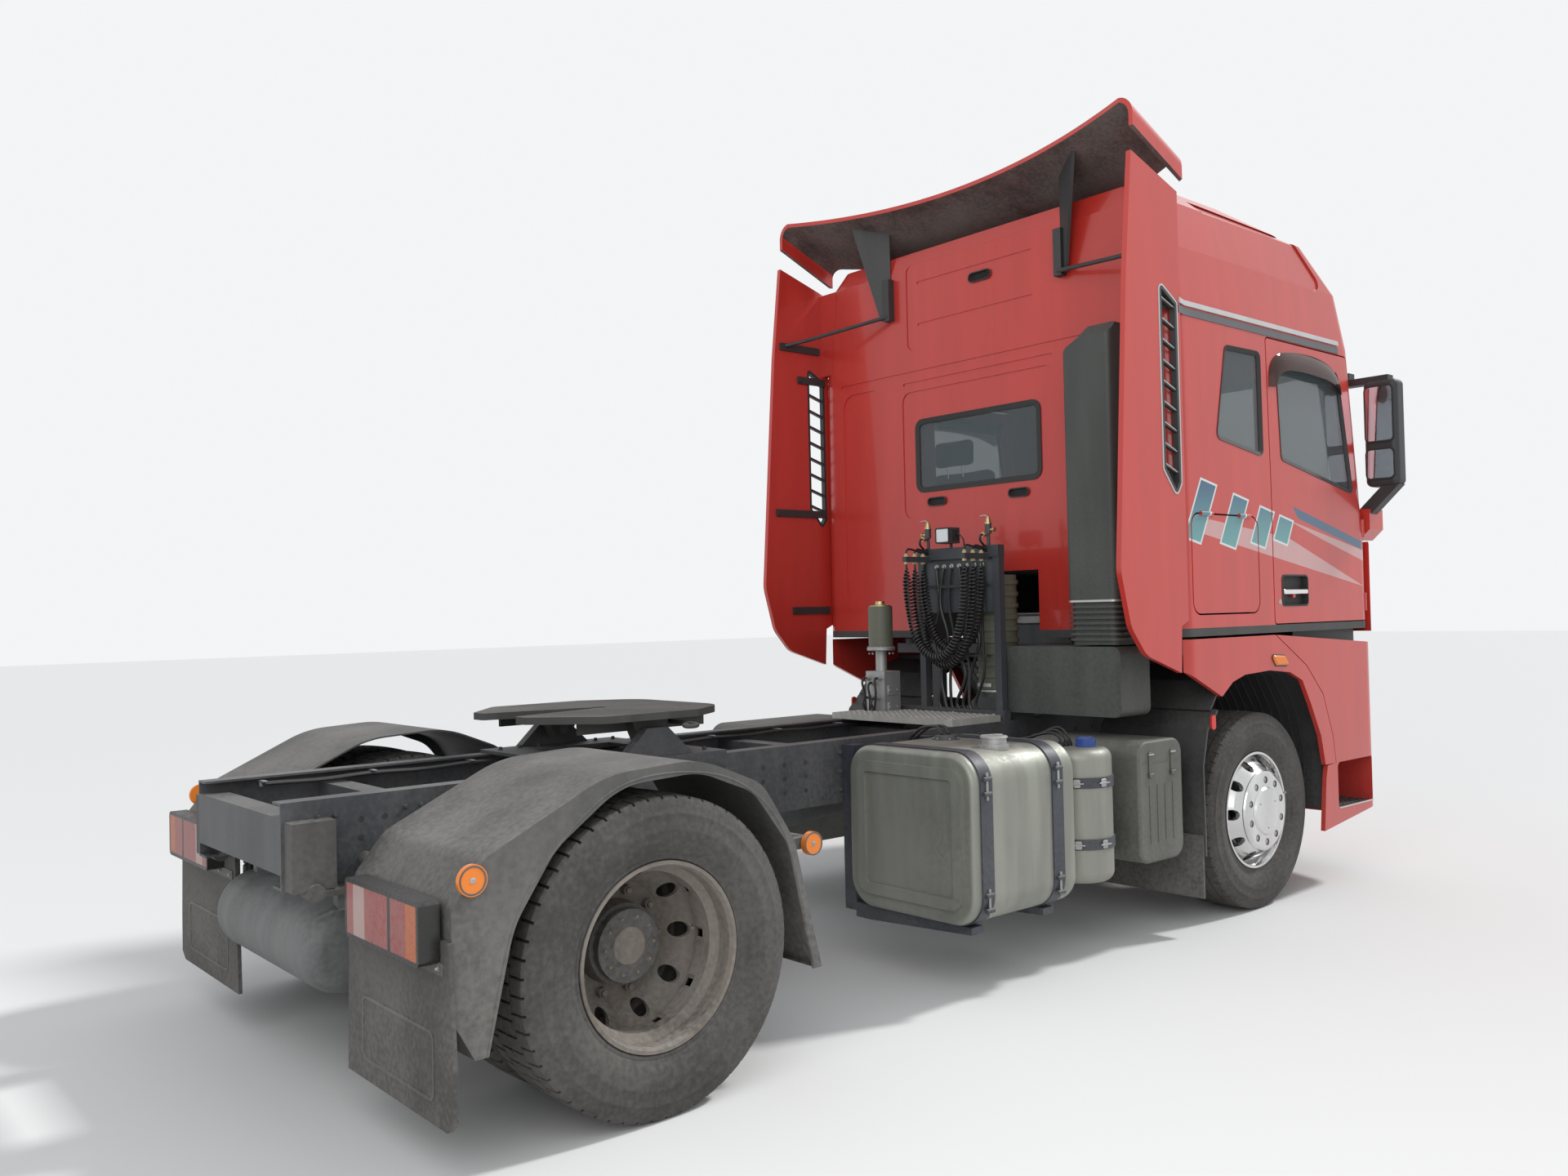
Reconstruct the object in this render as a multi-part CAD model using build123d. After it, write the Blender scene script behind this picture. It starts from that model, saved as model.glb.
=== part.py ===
from build123d import *
from math import cos, radians, sin, tan
import os

os.makedirs("parts", exist_ok=True)

# Frame of the drawing: x is measured forward from the front axle, y to the left, z up from the road.
# Every piece is moved by front_axle_x when it is saved, so that the origin is under the middle.

# Driving dimensions of the whole vehicle
wheelbase = 3800
front_overhang = 1440
rear_overhang = 900
overall_length = wheelbase + front_overhang + rear_overhang
front_axle_x = overall_length / 2 - front_overhang
rear_axle_x = -wheelbase
body_half_width = 1245
running_gap = 8
seat_gap = 0.3

# Tyres and rims, 315/70 on a 22.5 inch rim
tyre_radius = 506
tyre_width = 315
rim_radius = 298
rim_width = 254
rim_wall = 10
nut_circle_radius = 167.5
nut_count = 10
front_wheel_y = 1020
dual_disc_y = 915
dual_offset = 175

# Frame rails
rail_outer_y = 430
rail_top_z = 1010
rail_height = 276
rail_flange = 75
rail_wall = 8
rail_front_x = 1250

# Steering and tilt
kingpin_y = 870
kingpin_radius = 24
tilt_x = 1200
tilt_z = 950
tilt_pin_radius = 22

# Cab
cab_wall = 40
cab_floor_z = 1420
cab_half_width = 1235
cab_rear_x = -800
roof_split_z = 3020
rear_wall_split_x = -715
tunnel_half_width = 430
tunnel_top_z = 1800
tunnel_front_x = 900
panel_wall = 24
glass_depth = 10
glass_wall = 6

rail_bottom_z = rail_top_z - rail_height
rail_rear_x = rear_axle_x - rear_overhang


# Shared shapes

def block(x0, x1, y0, y1, z0, z1):
    middle = ((x0 + x1) / 2, (y0 + y1) / 2, (z0 + z1) / 2)
    return Pos(*middle) * Box(abs(x1 - x0), abs(y1 - y0), abs(z1 - z0))


def face_of(points, radii):
    if isinstance(radii, (int, float)):
        radii = [radii] * len(points)
    if not any(radii):
        return make_face(Polyline(*points, close=True))
    return make_face(FilletPolyline(*points, radius=radii, close=True))


def side_prism(points, radii, y0, y1):
    """Outline in x and z, carried across from y0 to y1."""
    plane = Plane(origin=(0, max(y0, y1), 0), x_dir=(1, 0, 0), z_dir=(0, -1, 0))
    return extrude(plane * face_of(points, radii), amount=abs(y1 - y0))


def front_prism(points, radii, x0, x1):
    """Outline in y and z, carried along from x0 to x1."""
    plane = Plane(origin=(min(x0, x1), 0, 0), x_dir=(0, 1, 0), z_dir=(1, 0, 0))
    return extrude(plane * face_of(points, radii), amount=abs(x1 - x0))


def plan_prism(points, radii, z0, z1):
    """Outline in x and y, raised from z0 to z1."""
    return extrude(Plane((0, 0, min(z0, z1))) * face_of(points, radii), amount=abs(z1 - z0))


def rod_x(radius, x0, x1, y, z):
    return Pos((x0 + x1) / 2, y, z) * Rot(0, 90, 0) * Cylinder(radius, abs(x1 - x0))


def rod_y(radius, y0, y1, x, z):
    return Pos(x, (y0 + y1) / 2, z) * Rot(90, 0, 0) * Cylinder(radius, abs(y1 - y0))


def rod_z(radius, z0, z1, x, y):
    return Pos(x, y, (z0 + z1) / 2) * Cylinder(radius, abs(z1 - z0))


def turned_y(points, x, z):
    """Ring turned about an axle: points are (y, radius)."""
    plane = Plane(origin=(x, 0, z), x_dir=(0, 1, 0), z_dir=(1, 0, 0))
    return revolve(plane * face_of(points, 0), Axis((x, 0, z), (0, 1, 0)), 360)


def bar(start, end, radius):
    """Round bar between two points."""
    a, b = Vector(*start), Vector(*end)
    plane = Plane(origin=a, z_dir=b - a)
    return extrude(plane * Circle(radius), amount=(b - a).length)


def left_of(shape):
    """The same piece on the left side of the vehicle."""
    return mirror(shape, about=Plane.XZ)


def pair(shape):
    return [shape, left_of(shape)]


def save(name, *shapes):
    solids = [Pos(front_axle_x, 0, 0) * solid for shape in shapes for solid in shape.solids()]
    piece = solids[0] if len(solids) == 1 else Compound(children=solids)
    export_step(piece, f"parts/{name}.step")


def slots(centre, pitch, count):
    """Evenly spaced places about a centre."""
    return [centre + (i - (count - 1) / 2) * pitch for i in range(count)]


knuckle_radius = 12
knuckle_length = 34
hinge_pin_radius = 5
hinge_turns = {"x": Rot(0, 90, 0), "y": Rot(90, 0, 0), "z": Rot(0, 0, 0)}


def hang(fixed_panel, moving_panel, centres, axis):
    """Hinges between two panels: pin and outer knuckles on the fixed one, middle one on the moving."""
    total = 3 * knuckle_length
    outer_length = total + 2 * seat_gap
    middle_length = knuckle_length + 2 * seat_gap
    for centre in centres:
        place = Pos(*centre) * hinge_turns[axis]
        knuckles = Cylinder(knuckle_radius, total) - Cylinder(knuckle_radius + 1, middle_length)
        rooms = Cylinder(knuckle_radius + seat_gap, outer_length) - Cylinder(knuckle_radius + 1,
                                                                             knuckle_length)
        fixed_panel -= place * Cylinder(knuckle_radius + seat_gap, middle_length)
        fixed_panel += place * (knuckles + Cylinder(hinge_pin_radius, total))
        moving_panel -= place * rooms
        moving_panel += place * Cylinder(knuckle_radius, knuckle_length)
        moving_panel -= place * Cylinder(hinge_pin_radius + seat_gap, outer_length)
    return fixed_panel, moving_panel


# Frame rails and crossmembers

def frame_rails():
    outer = block(rail_rear_x, rail_front_x, -rail_outer_y, rail_flange - rail_outer_y, rail_bottom_z,
                  rail_top_z)
    inside = block(rail_rear_x - 1, rail_front_x + 1, rail_wall - rail_outer_y,
                   rail_flange + 1 - rail_outer_y, rail_bottom_z + rail_wall, rail_top_z - rail_wall)
    save("frame_rails", *pair(outer - inside))


web_y = rail_outer_y - rail_wall
member_depth = 180
member_width = 90
member_wall = 8


def crossmember(x, z):
    outer = block(x - member_width / 2, x + member_width / 2, -web_y, web_y, z - member_depth / 2,
                  z + member_depth / 2)
    inside = block(x - member_width / 2 + member_wall, x + member_width, -web_y - 1, web_y + 1,
                   z - member_depth / 2 + member_wall, z + member_depth / 2 - member_wall)
    return outer - inside


def frame_crossmembers():
    middle_z = (rail_bottom_z + rail_top_z) / 2
    places = [rail_rear_x + member_width / 2, rear_axle_x - 420, rear_axle_x + 640, -2250, -1350,
              rail_front_x - 60]
    save("frame_crossmembers", *[crossmember(x, middle_z) for x in places])


# Engine, gearbox and drive line

engine_rear_x = -420
engine_front_x = 850
engine_top_z = 1480
gearbox_rear_x = -1230
output_z = 715


def engine():
    points = [(-330, output_z), (-330, 1380), (-220, engine_top_z), (220, engine_top_z), (330, 1380),
              (330, output_z), (180, 640), (-180, 640)]
    body = front_prism(points, 30, engine_rear_x, engine_front_x)
    save("engine", body)


def gearbox():
    bell = front_prism([(-270, 700), (-270, 1000), (-170, 1090), (170, 1090), (270, 1000), (270, 700),
                        (120, 620), (-120, 620)], 25, engine_rear_x - 220, engine_rear_x)
    case = front_prism([(-190, 690), (-190, 950), (-110, 1010), (110, 1010), (190, 950), (190, 690),
                        (90, 640), (-90, 640)], 20, gearbox_rear_x, engine_rear_x - 220)
    return bell + case


def drive_line():
    front_flange_x = gearbox_rear_x - 50
    rear_flange_x = rear_axle_x + 290 + 50
    shaft = bar((front_flange_x, 0, output_z), (rear_flange_x, 0, tyre_radius + 20), 62)
    flanges = rod_x(95, front_flange_x, gearbox_rear_x, 0, output_z)
    flanges += rod_x(95, rear_axle_x + 290, rear_flange_x, 0, tyre_radius + 20)
    save("drive_line", gearbox() + shaft + flanges)


def radiator():
    core = block(960, 1070, -335, 335, 680, 1320)
    for z in (640, 1290):
        core += block(945, 1085, -345, 345, z, z + 50)
    for side in (-1, 1):
        core += block(985, 1045, side * 330, side * 400, rail_top_z + seat_gap, rail_top_z + 20)
    save("radiator", core)


# Axles and springs

def front_axle():
    eye_top = 556
    eye_low = 456
    beam = block(-45, 45, -kingpin_y + 30, kingpin_y - 30, 470, 542)
    lowered = front_prism([(-640, 470), (-520, 400), (520, 400), (640, 470), (640, 542), (520, 480),
                           (-520, 480), (-640, 542)], 0, -45, 45)
    body = beam - block(-46, 46, -640, 640, 400, 600) + lowered
    for y in (-390, 390):
        body += block(-90, 90, y - 48, y + 48, 478, 505)
    for side in (-1, 1):
        body += rod_z(58, eye_low, eye_top, 0, side * kingpin_y)
        body -= rod_z(kingpin_radius + seat_gap, eye_low - 1, eye_top + 1, 0, side * kingpin_y)
    save("front_axle", body)


spring_y = rail_outer_y - rail_flange / 2
spring_width = 76


def leaf_pack(centre_x, half_length, middle_z, eye_z, leaves, leaf_thickness, y):
    """Curved main leaves over shorter ones, with an eye at each end."""
    rise = eye_z - middle_z
    pack = None
    for i in range(leaves):
        share = 1 - i / (leaves + 0.6)
        reach = half_length * share
        lift = rise * share * share
        low = middle_z - (i + 1) * leaf_thickness
        arc_top = ThreePointArc((centre_x - reach, low + leaf_thickness + lift),
                                (centre_x, low + leaf_thickness),
                                (centre_x + reach, low + leaf_thickness + lift))
        arc_low = ThreePointArc((centre_x - reach, low + lift), (centre_x, low),
                                (centre_x + reach, low + lift))
        ends = [Line(arc_top @ 0, arc_low @ 0), Line(arc_top @ 1, arc_low @ 1)]
        face = make_face([arc_top, arc_low] + ends)
        plane = Plane(origin=(0, y + spring_width / 2, 0), x_dir=(1, 0, 0), z_dir=(0, -1, 0))
        leaf = extrude(plane * face, amount=spring_width)
        pack = leaf if pack is None else pack + leaf
    for end in (-1, 1):
        pack += rod_y(28, y - spring_width / 2, y + spring_width / 2, centre_x + end * half_length,
                      eye_z - 6)
    return pack


def hanger(x, y, low_z):
    """Bracket from the underside of the rail down to a spring eye."""
    points = [(x - 70, rail_bottom_z), (x + 70, rail_bottom_z), (x + 34, low_z + 29), (x - 34, low_z + 29)]
    return side_prism(points, 0, y - 30, y + 30)


def front_springs():
    eye_z = rail_bottom_z - 60
    solids = []
    for side in (-1, 1):
        y = side * spring_y
        pack = leaf_pack(0, 820, 575, eye_z, 4, 16, y)
        pack += block(-70, 70, y - 45, y + 45, 505 + seat_gap, 520)
        for end in (-1, 1):
            pack += hanger(end * 820, y, eye_z - 6 - 5)
        solids.append(pack)
    return solids


def rear_axle():
    housing = turned_y([(-600, 0), (-600, 62), (-420, 84), (-250, 120), (-150, 215), (150, 215), (250, 120),
                        (420, 84), (600, 62), (600, 0)], rear_axle_x, tyre_radius)
    spindles = rod_y(46, -1010, 1010, rear_axle_x, tyre_radius)
    nose = rod_x(120, rear_axle_x, rear_axle_x + 290, 0, tyre_radius + 20)
    pads = block(rear_axle_x - 90, rear_axle_x + 90, -spring_y - 48, -spring_y + 48, tyre_radius + 40,
                 tyre_radius + 112)
    save("rear_axle", housing + spindles + nose + pads + left_of(pads))


rear_spring_half = 820


def rear_springs():
    eye_z = rail_bottom_z
    seat_z = tyre_radius + 112
    solids = []
    for side in (-1, 1):
        y = side * (rail_outer_y + spring_width / 2 + 12)
        pack = leaf_pack(rear_axle_x, rear_spring_half, seat_z + 90, eye_z, 4, 18, y)
        inner = min(abs(y) - 30, spring_y - 48) * side
        pack += block(rear_axle_x - 70, rear_axle_x + 70, inner, y + side * 44, seat_z + seat_gap,
                      seat_z + 20)
        for end in (-1, 1):
            x = rear_axle_x + end * rear_spring_half
            pack += block(x - 70, x + 70, side * (rail_outer_y + seat_gap), y + side * 20, eye_z,
                          rail_top_z - 60)
        solids.append(pack)
    return solids


def leaf_springs():
    save("leaf_springs", *front_springs(), *rear_springs())


# Wheels

def tyre(y):
    half = tyre_width / 2
    bead = rim_width / 2 - 14
    outer_side = [(bead, rim_radius - 8), (bead, rim_radius + 3), (half, rim_radius + 88),
                  (half - 5, tyre_radius - 52), (half - 20, tyre_radius - 9), (half - 38, tyre_radius)]
    return [(y + a, r) for a, r in outer_side] + [(y - a, r) for a, r in reversed(outer_side)]


def barrel(y):
    """Closed outline of a drop centre rim, as (y, radius)."""
    half = rim_width / 2
    seat = rim_radius - 8.4
    well = rim_radius - 34
    path = [(-half, rim_radius), (-half + 9, rim_radius), (-half + 11, seat), (-62, seat), (-42, well),
            (42, well), (62, seat), (half - 11, seat), (half - 9, rim_radius), (half, rim_radius)]
    under = [(half, rim_radius - 12), (half - 16, seat - rim_wall), (58, seat - rim_wall),
             (38, well - rim_wall), (-38, well - rim_wall), (-58, seat - rim_wall),
             (-half + 16, seat - rim_wall), (-half, rim_radius - 12)]
    return [(y + a, r) for a, r in path + under]


def disc(y_rim, y_face, wall):
    """Dished wheel disc from the rim barrel to its flat mounting face, as (y, radius)."""
    out = 1 if y_face > y_rim else -1
    edge = y_face - out * 95
    return [(edge, rim_radius - 13), (y_face - out * 30, 235), (y_face, 205), (y_face, 60),
            (y_face - out * wall, 60), (y_face - out * wall, 200), (y_face - out * (30 + wall), 226),
            (edge - out * wall, rim_radius - 13)]


hand_hole_count = 10
hand_hole_radius = 27
hand_hole_circle = 240


def drill_ring(shape, count, circle, radius, y0, y1, x, z, start=0.0):
    for i in range(count):
        angle = radians(start + 360 * i / count)
        shape -= rod_y(radius, y0, y1, x + circle * cos(angle), z + circle * sin(angle))
    return shape


def front_wheel():
    """Right front rim with its hub, then its tyre."""
    z = tyre_radius
    face_y = front_wheel_y + 160
    rim = turned_y(barrel(front_wheel_y), 0, z) + turned_y(disc(front_wheel_y, face_y, 14), 0, z)
    rim = drill_ring(rim, hand_hole_count, hand_hole_circle, hand_hole_radius, face_y - 130, face_y + 20,
                     0, z)
    cover = turned_y([(face_y - 20, 80), (face_y - 20, 196), (face_y + 6, 207), (face_y + 14, 202),
                      (face_y + 20, 190), (face_y + 20, 124), (face_y + 30, 116), (face_y + 30, 0),
                      (face_y + 12, 0), (face_y + 12, 80)], 0, z)
    cover = drill_ring(cover, nut_count, nut_circle_radius - 9, 19, face_y + 4, face_y + 40, 0, z, 18)
    hub = turned_y([(968, spindle_radius + seat_gap), (968, 208), (1105, 208), (1105, 196), (987, 196),
                    (987, 120), (face_y - 8, 120), (face_y - 8, 50), (face_y - 44, 50),
                    (face_y - 44, spindle_radius + seat_gap)], 0, z)
    body = rim + cover + hub
    wheel = mirror(body, about=Plane.XZ)
    ring = mirror(turned_y(tyre(front_wheel_y), 0, z), about=Plane.XZ)
    return wheel, ring


spindle_radius = 34


def knuckle():
    """Right steering knuckle: two ears about the axle eye, king pin, spindle and steering arm."""
    y = -kingpin_y
    ears = [block(-42, 42, y - 88, y + 46, z0, z1) for z0, z1 in ((562, 604), (408, 450))]
    web = block(-62, 62, y - 92, y - 66, 408, 604)
    pin = rod_z(kingpin_radius, 409, 603, 0, y)
    spindle = rod_y(spindle_radius, y - 262, y - 80, 0, tyre_radius)
    arm = block(-230, 0, y - 20, y + 14, 412, 446)
    return ears[0] + ears[1] + web + pin + spindle + arm


def front_wheels():
    rim_right, tyre_right = front_wheel()
    knuckle_right = knuckle()
    for side, turn in (("right", lambda s: s), ("left", left_of)):
        save(f"front_rim_{side}", turn(rim_right))
        save(f"front_tyre_{side}", turn(tyre_right))
        save(f"front_knuckle_{side}", turn(knuckle_right))


def rear_wheels():
    z = tyre_radius
    x = rear_axle_x
    outer_y = dual_disc_y + dual_offset
    inner_y = dual_disc_y - dual_offset
    rims = turned_y(barrel(outer_y), x, z) + turned_y(disc(outer_y, dual_disc_y, 13), x, z)
    rims += turned_y(barrel(inner_y), x, z) + turned_y(disc(inner_y, dual_disc_y, 13), x, z)
    rims = drill_ring(rims, hand_hole_count, hand_hole_circle, hand_hole_radius, inner_y, outer_y, x, z)
    hub = turned_y([(660, 47), (660, 130), (dual_disc_y - 16, 130), (dual_disc_y - 16, 200),
                    (dual_disc_y + 4, 200), (dual_disc_y + 4, 138), (1000, 132), (1000, 118), (1030, 118),
                    (1030, 0), (1016, 0), (1016, 47)], x, z)
    drum = turned_y([(640, 195), (640, 208), (dual_disc_y - 60, 208), (dual_disc_y - 20, 150),
                     (dual_disc_y - 20, 120), (dual_disc_y - 40, 120), (dual_disc_y - 74, 195)], x, z)
    rims += hub + drum
    for i in range(nut_count):
        angle = radians(360 * i / nut_count)
        rims += rod_y(16, dual_disc_y, dual_disc_y + 38, x + nut_circle_radius * cos(angle),
                      z + nut_circle_radius * sin(angle))
    tyres = [turned_y(tyre(y), x, z) for y in (outer_y, inner_y)]
    save("rear_rims_left", rims)
    save("rear_tyres_left", *tyres)
    save("rear_rims_right", left_of(rims))
    save("rear_tyres_right", *[left_of(t) for t in tyres])


# Tanks and boxes on the rails

side_box_inner_y = -505
side_box_outer_y = -1215
strap_wall = 6


def round_section(y0, y1, z0, z1, radius, grow, x0, x1):
    points = [(y0 - grow, z0 - grow), (y0 - grow, z1 + grow), (y1 + grow, z1 + grow),
              (y1 + grow, z0 - grow)]
    return front_prism(points, radius + grow, x0, x1)


fuel_cap_place = (-2010, -1085)
urea_cap_place = (-1360, -1075)
fuel_tank_x0 = -2300
fuel_tank_x1 = -1635
tank_z0 = 310
tank_z1 = 1000
tank_corner = 125
strap_width = 72


def fuel_section(grow, x0, x1):
    return round_section(side_box_outer_y, side_box_inner_y, tank_z0, tank_z1, tank_corner, grow, x0, x1)


def fuel_tank():
    body = fuel_section(0, fuel_tank_x0, fuel_tank_x1)
    end_edges = body.faces().filter_by(Axis.X).edges()
    body = fillet(end_edges, 24)
    for x0, x1 in ((fuel_tank_x0 - 12, fuel_tank_x0 + 2), (fuel_tank_x1 - 2, fuel_tank_x1 + 12)):
        body += fuel_section(-62, x0, x1)
    hollow = fuel_section(-108, fuel_tank_x0 - 13, fuel_tank_x0 - 2)
    for radius, top in ((52, 40), (62, 14)):
        body += rod_z(radius, tank_z1 - 20, tank_z1 + top, *fuel_cap_place)
    return body - hollow


def fuel_tank_cradle():
    solids = []
    for x in (fuel_tank_x0 + 75, fuel_tank_x1 - 130):
        x0, x1 = x - strap_width / 2, x + strap_width / 2
        band = fuel_section(strap_wall, x0, x1) - fuel_section(seat_gap, x0 - 1, x1 + 1)
        rail_leg = block(x0, x1, side_box_inner_y + strap_wall - 1, -rail_outer_y - seat_gap, tank_z0 - 40,
                         rail_top_z - 20)
        arm_points = [(side_box_outer_y + 60, tank_z0 - strap_wall + 1),
                      (side_box_inner_y + 8, tank_z0 - strap_wall + 1),
                      (side_box_inner_y + 8, tank_z0 - 66), (side_box_inner_y - 80, tank_z0 - 66),
                      (side_box_outer_y + 60, tank_z0 - 34)]
        solids.append(band + rail_leg + front_prism(arm_points, 0, x0, x1))
    return solids


urea_x = -1380
urea_y = -1040
urea_radius = 152
urea_z0 = 350
urea_z1 = 945


def urea_tank():
    body = fillet(rod_z(urea_radius, urea_z0, urea_z1, urea_x, urea_y).edges(), 48)
    return body + rod_z(44, urea_z1 - 20, urea_z1 + 34, *urea_cap_place)


def urea_cradle():
    solids = []
    for z in (505, 775):
        band = rod_z(urea_radius + 7, z, z + 46, urea_x, urea_y) - rod_z(urea_radius + seat_gap, z - 1,
                                                                         z + 47, urea_x, urea_y)
        clamp = block(urea_x + urea_radius - 6, urea_x + urea_radius + 30, urea_y - 50, urea_y - 22, z - 8,
                      z + 54)
        clamp -= rod_z(urea_radius + seat_gap, z - 9, z + 55, urea_x, urea_y)
        arm = block(urea_x - 45, urea_x + 45, urea_y + urea_radius + 4, -rail_outer_y - seat_gap, z, z + 46)
        solids.append(band + clamp + arm)
    post = block(urea_x - 45, urea_x + 45, -rail_outer_y - 60, -rail_outer_y - seat_gap, 505,
                 rail_top_z - 40)
    return solids[0] + post + solids[1]


def tanks():
    save("tanks", fuel_tank(), urea_tank())
    save("tank_cradles", *fuel_tank_cradle(), urea_cradle())


battery_x0 = -1135
battery_x1 = -775
box_corner = 72


def battery_box():
    points = [(battery_x0, 390), (battery_x0, 950), (battery_x1, 950), (battery_x1, 390)]
    body = side_prism(points, box_corner, side_box_outer_y + 15, -560)
    body = fillet(body.faces().sort_by(Axis.Y)[0].edges(), 14)
    body += block(battery_x0 + 40, battery_x1 - 40, -562, -rail_outer_y - seat_gap, 750, 900)
    return body


exhaust_x0 = -1760
exhaust_x1 = -860


def exhaust_box():
    points = [(exhaust_x0, 340), (exhaust_x0, 960), (exhaust_x1, 960), (exhaust_x1, 340)]
    body = side_prism(points, 90, 560, -side_box_outer_y - 10)
    body = fillet(body.faces().sort_by(Axis.Y)[-1].edges(), 30)
    for x in (exhaust_x0 + 180, exhaust_x1 - 180):
        body += block(x - 60, x + 60, rail_outer_y + seat_gap, 562, 750, 900)
    return body + bar((exhaust_x0 + 60, 700, 420), (exhaust_x0 - 160, 700, 420), 55)


def side_boxes():
    save("side_boxes", battery_box(), exhaust_box())


air_tank_radius = 145
air_tank_z = 510
air_tank_places = (rear_axle_x - 380, rear_axle_x - 690)


def air_tanks():
    solids = []
    for x in air_tank_places:
        drum = fillet(rod_y(air_tank_radius, -440, 500, x, air_tank_z).edges(), 60)
        for y in (-spring_y, spring_y):
            drum += block(x - 25, x + 25, y - 20, y + 20, air_tank_z + air_tank_radius - 12,
                          rail_bottom_z - seat_gap)
        solids.append(drum)
    return solids


# Behind the cab

deck_x0 = -1520
deck_x1 = -1160
deck_z = rail_top_z + 32


dryer_x = -1235
dryer_y = 330
deck_wall = 5


def deck_outline(inset):
    x0, x1 = deck_x0 + inset, deck_x1 - inset
    y1 = rail_outer_y - 5 - inset
    notch_x, notch_y = dryer_x - 70 - inset, dryer_y - 90 - inset
    return [(x0, -y1), (x0, y1), (notch_x, y1), (notch_x, notch_y), (x1, notch_y), (x1, -y1)]


def catwalk():
    outer = plan_prism(deck_outline(0), 0, rail_top_z + seat_gap, deck_z)
    inside = plan_prism(deck_outline(deck_wall), 0, rail_top_z - 1, deck_z - deck_wall)
    save("catwalk", outer - inside)


stand_x = -1110
stand_top_z = 1900
stand_left_y = 120
stand_right_y = -395
socket_z = 1830


def hose_stand():
    body = block(stand_x - 25, stand_x + 25, -rail_outer_y, rail_outer_y, rail_top_z + seat_gap,
                 rail_top_z + 50)
    for y in (stand_left_y, stand_right_y):
        body += block(stand_x - 20, stand_x + 20, y - 20, y + 20, rail_top_z + 40, stand_top_z)
    body += block(stand_x - 24, stand_x + 24, stand_right_y - 20, stand_left_y + 20, stand_top_z - 60,
                  stand_top_z)
    body += block(stand_x - 5, stand_x + 5, stand_right_y, stand_left_y, 1560, stand_top_z)
    for y in (stand_left_y - 40, stand_right_y + 60):
        body += rod_z(9, stand_top_z - 5, stand_top_z + 95, stand_x, y)
        body += rod_z(17, stand_top_z + 60, stand_top_z + 110, stand_x, y)
    for x in hose_lines_x:
        body += block(x - 14, stand_x, hose_left_y - 14, hose_left_y + 14, socket_z, socket_z + 28)
        body += block(x - 14, stand_x, hose_right_y - 14, hose_right_y + 14, socket_z, socket_z + 28)
    lamp_y = -90
    lamp = block(stand_x - 75, stand_x + 5, lamp_y - 48, lamp_y + 48, stand_top_z + 22, stand_top_z + 104)
    body += lamp + rod_z(8, stand_top_z - 2, stand_top_z + 24, stand_x - 10, lamp_y)
    save("hose_stand", body)


hose_lines_x = (-1175, -1240, -1305)
hose_left_y = 60
hose_right_y = -340
hose_coil_radius = 26


def hose_route(x):
    """A curly line hangs in a loop from one socket of the stand to the other."""
    middle = (hose_left_y + hose_right_y) / 2
    reach = (hose_left_y - hose_right_y) / 2
    drop = {hose_lines_x[0]: 470, hose_lines_x[1]: 540, hose_lines_x[2]: 500}[x]
    rows = [(1.0, 0), (1.0, 0.22), (0.93, 0.46), (0.80, 0.69), (0.58, 0.87), (0.30, 0.97)]
    points = [(x, middle + reach * a, socket_z - drop * b) for a, b in rows]
    points.append((x, middle, socket_z - drop))
    points += [(x, middle - reach * a, socket_z - drop * b) for a, b in reversed(rows)]
    return points


def corner_radii(points):
    radii = []
    for a, b, c in zip(points, points[1:], points[2:]):
        run_in, run_out = Vector(*b) - Vector(*a), Vector(*c) - Vector(*b)
        turn = radians(run_in.get_angle(run_out))
        radii.append(0.45 * min(run_in.length, run_out.length) / tan(turn / 2))
    return radii


def hose_coils():
    for number, x in enumerate(hose_lines_x, 1):
        points = hose_route(x)
        radii = corner_radii(points)
        print("hose radii", [round(r) for r in radii])
        path = FilletPolyline(*points, radius=radii)
        plane = Plane(origin=points[0], z_dir=Vector(*points[1]) - Vector(*points[0]))
        tube = sweep(plane * Circle(hose_coil_radius), path=path)
        length = path.length
        print("hose tube", round(tube.volume), round(length * 3.14159 * hose_coil_radius ** 2))
        save(f"hose_coil_{number}", tube)


def air_dryer():
    x, y = dryer_x, dryer_y
    body = block(x - 60, x + 60, y - 80, y + 60, rail_top_z + seat_gap, deck_z + 210)
    body += rod_z(30, deck_z + 200, deck_z + 330, x, y) + rod_z(66, deck_z + 330, deck_z + 560, x, y)
    return body + rod_z(72, deck_z + 325, deck_z + 345, x, y)


def air_system():
    save("air_system", *air_tanks(), air_dryer())


intake_x = -955
intake_y = -915
bellows_low_z = 1392


def air_cleaner():
    body = block(intake_x - 125, intake_x + 115, -1080, -385, 1052, bellows_low_z - running_gap)
    body = fillet(body.edges().filter_by(Axis.X), 40)
    body += block(intake_x - 60, intake_x + 60, -rail_outer_y, -rail_outer_y + 60, rail_top_z + seat_gap,
                  1070)
    riser_y = -250
    riser = rod_z(104, 1120, 1750, intake_x, riser_y)
    for z in range(1160, 1740, 60):
        riser += rod_z(112, z, z + 22, intake_x, riser_y)
    link = rod_y(85, -420, riser_y, intake_x, 1220)
    save("air_cleaner", body + riser + link)


# Rear end

fender_inner_y = -565
fender_wall = 7
fender_outline = [(-3150, 350), (-3262, 800), (-3400, 1010), (-3660, 1115), (-4010, 1098), (-4420, 905),
                  (-4522, 780), (-4522, 470), (-4450, 340)]
fender_round = [0, 160, 160, 420, 420, 90, 60, 0, 0]


def fender_profile(inset, y0, y1):
    points = []
    centre = (rear_axle_x, 560)
    for x, z in fender_outline:
        away = Vector(x - centre[0], z - centre[1])
        shorter = away * ((away.length - inset) / away.length)
        points.append((centre[0] + shorter.X, centre[1] + shorter.Y))
    return side_prism(points, fender_round, y0, y1)


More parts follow.
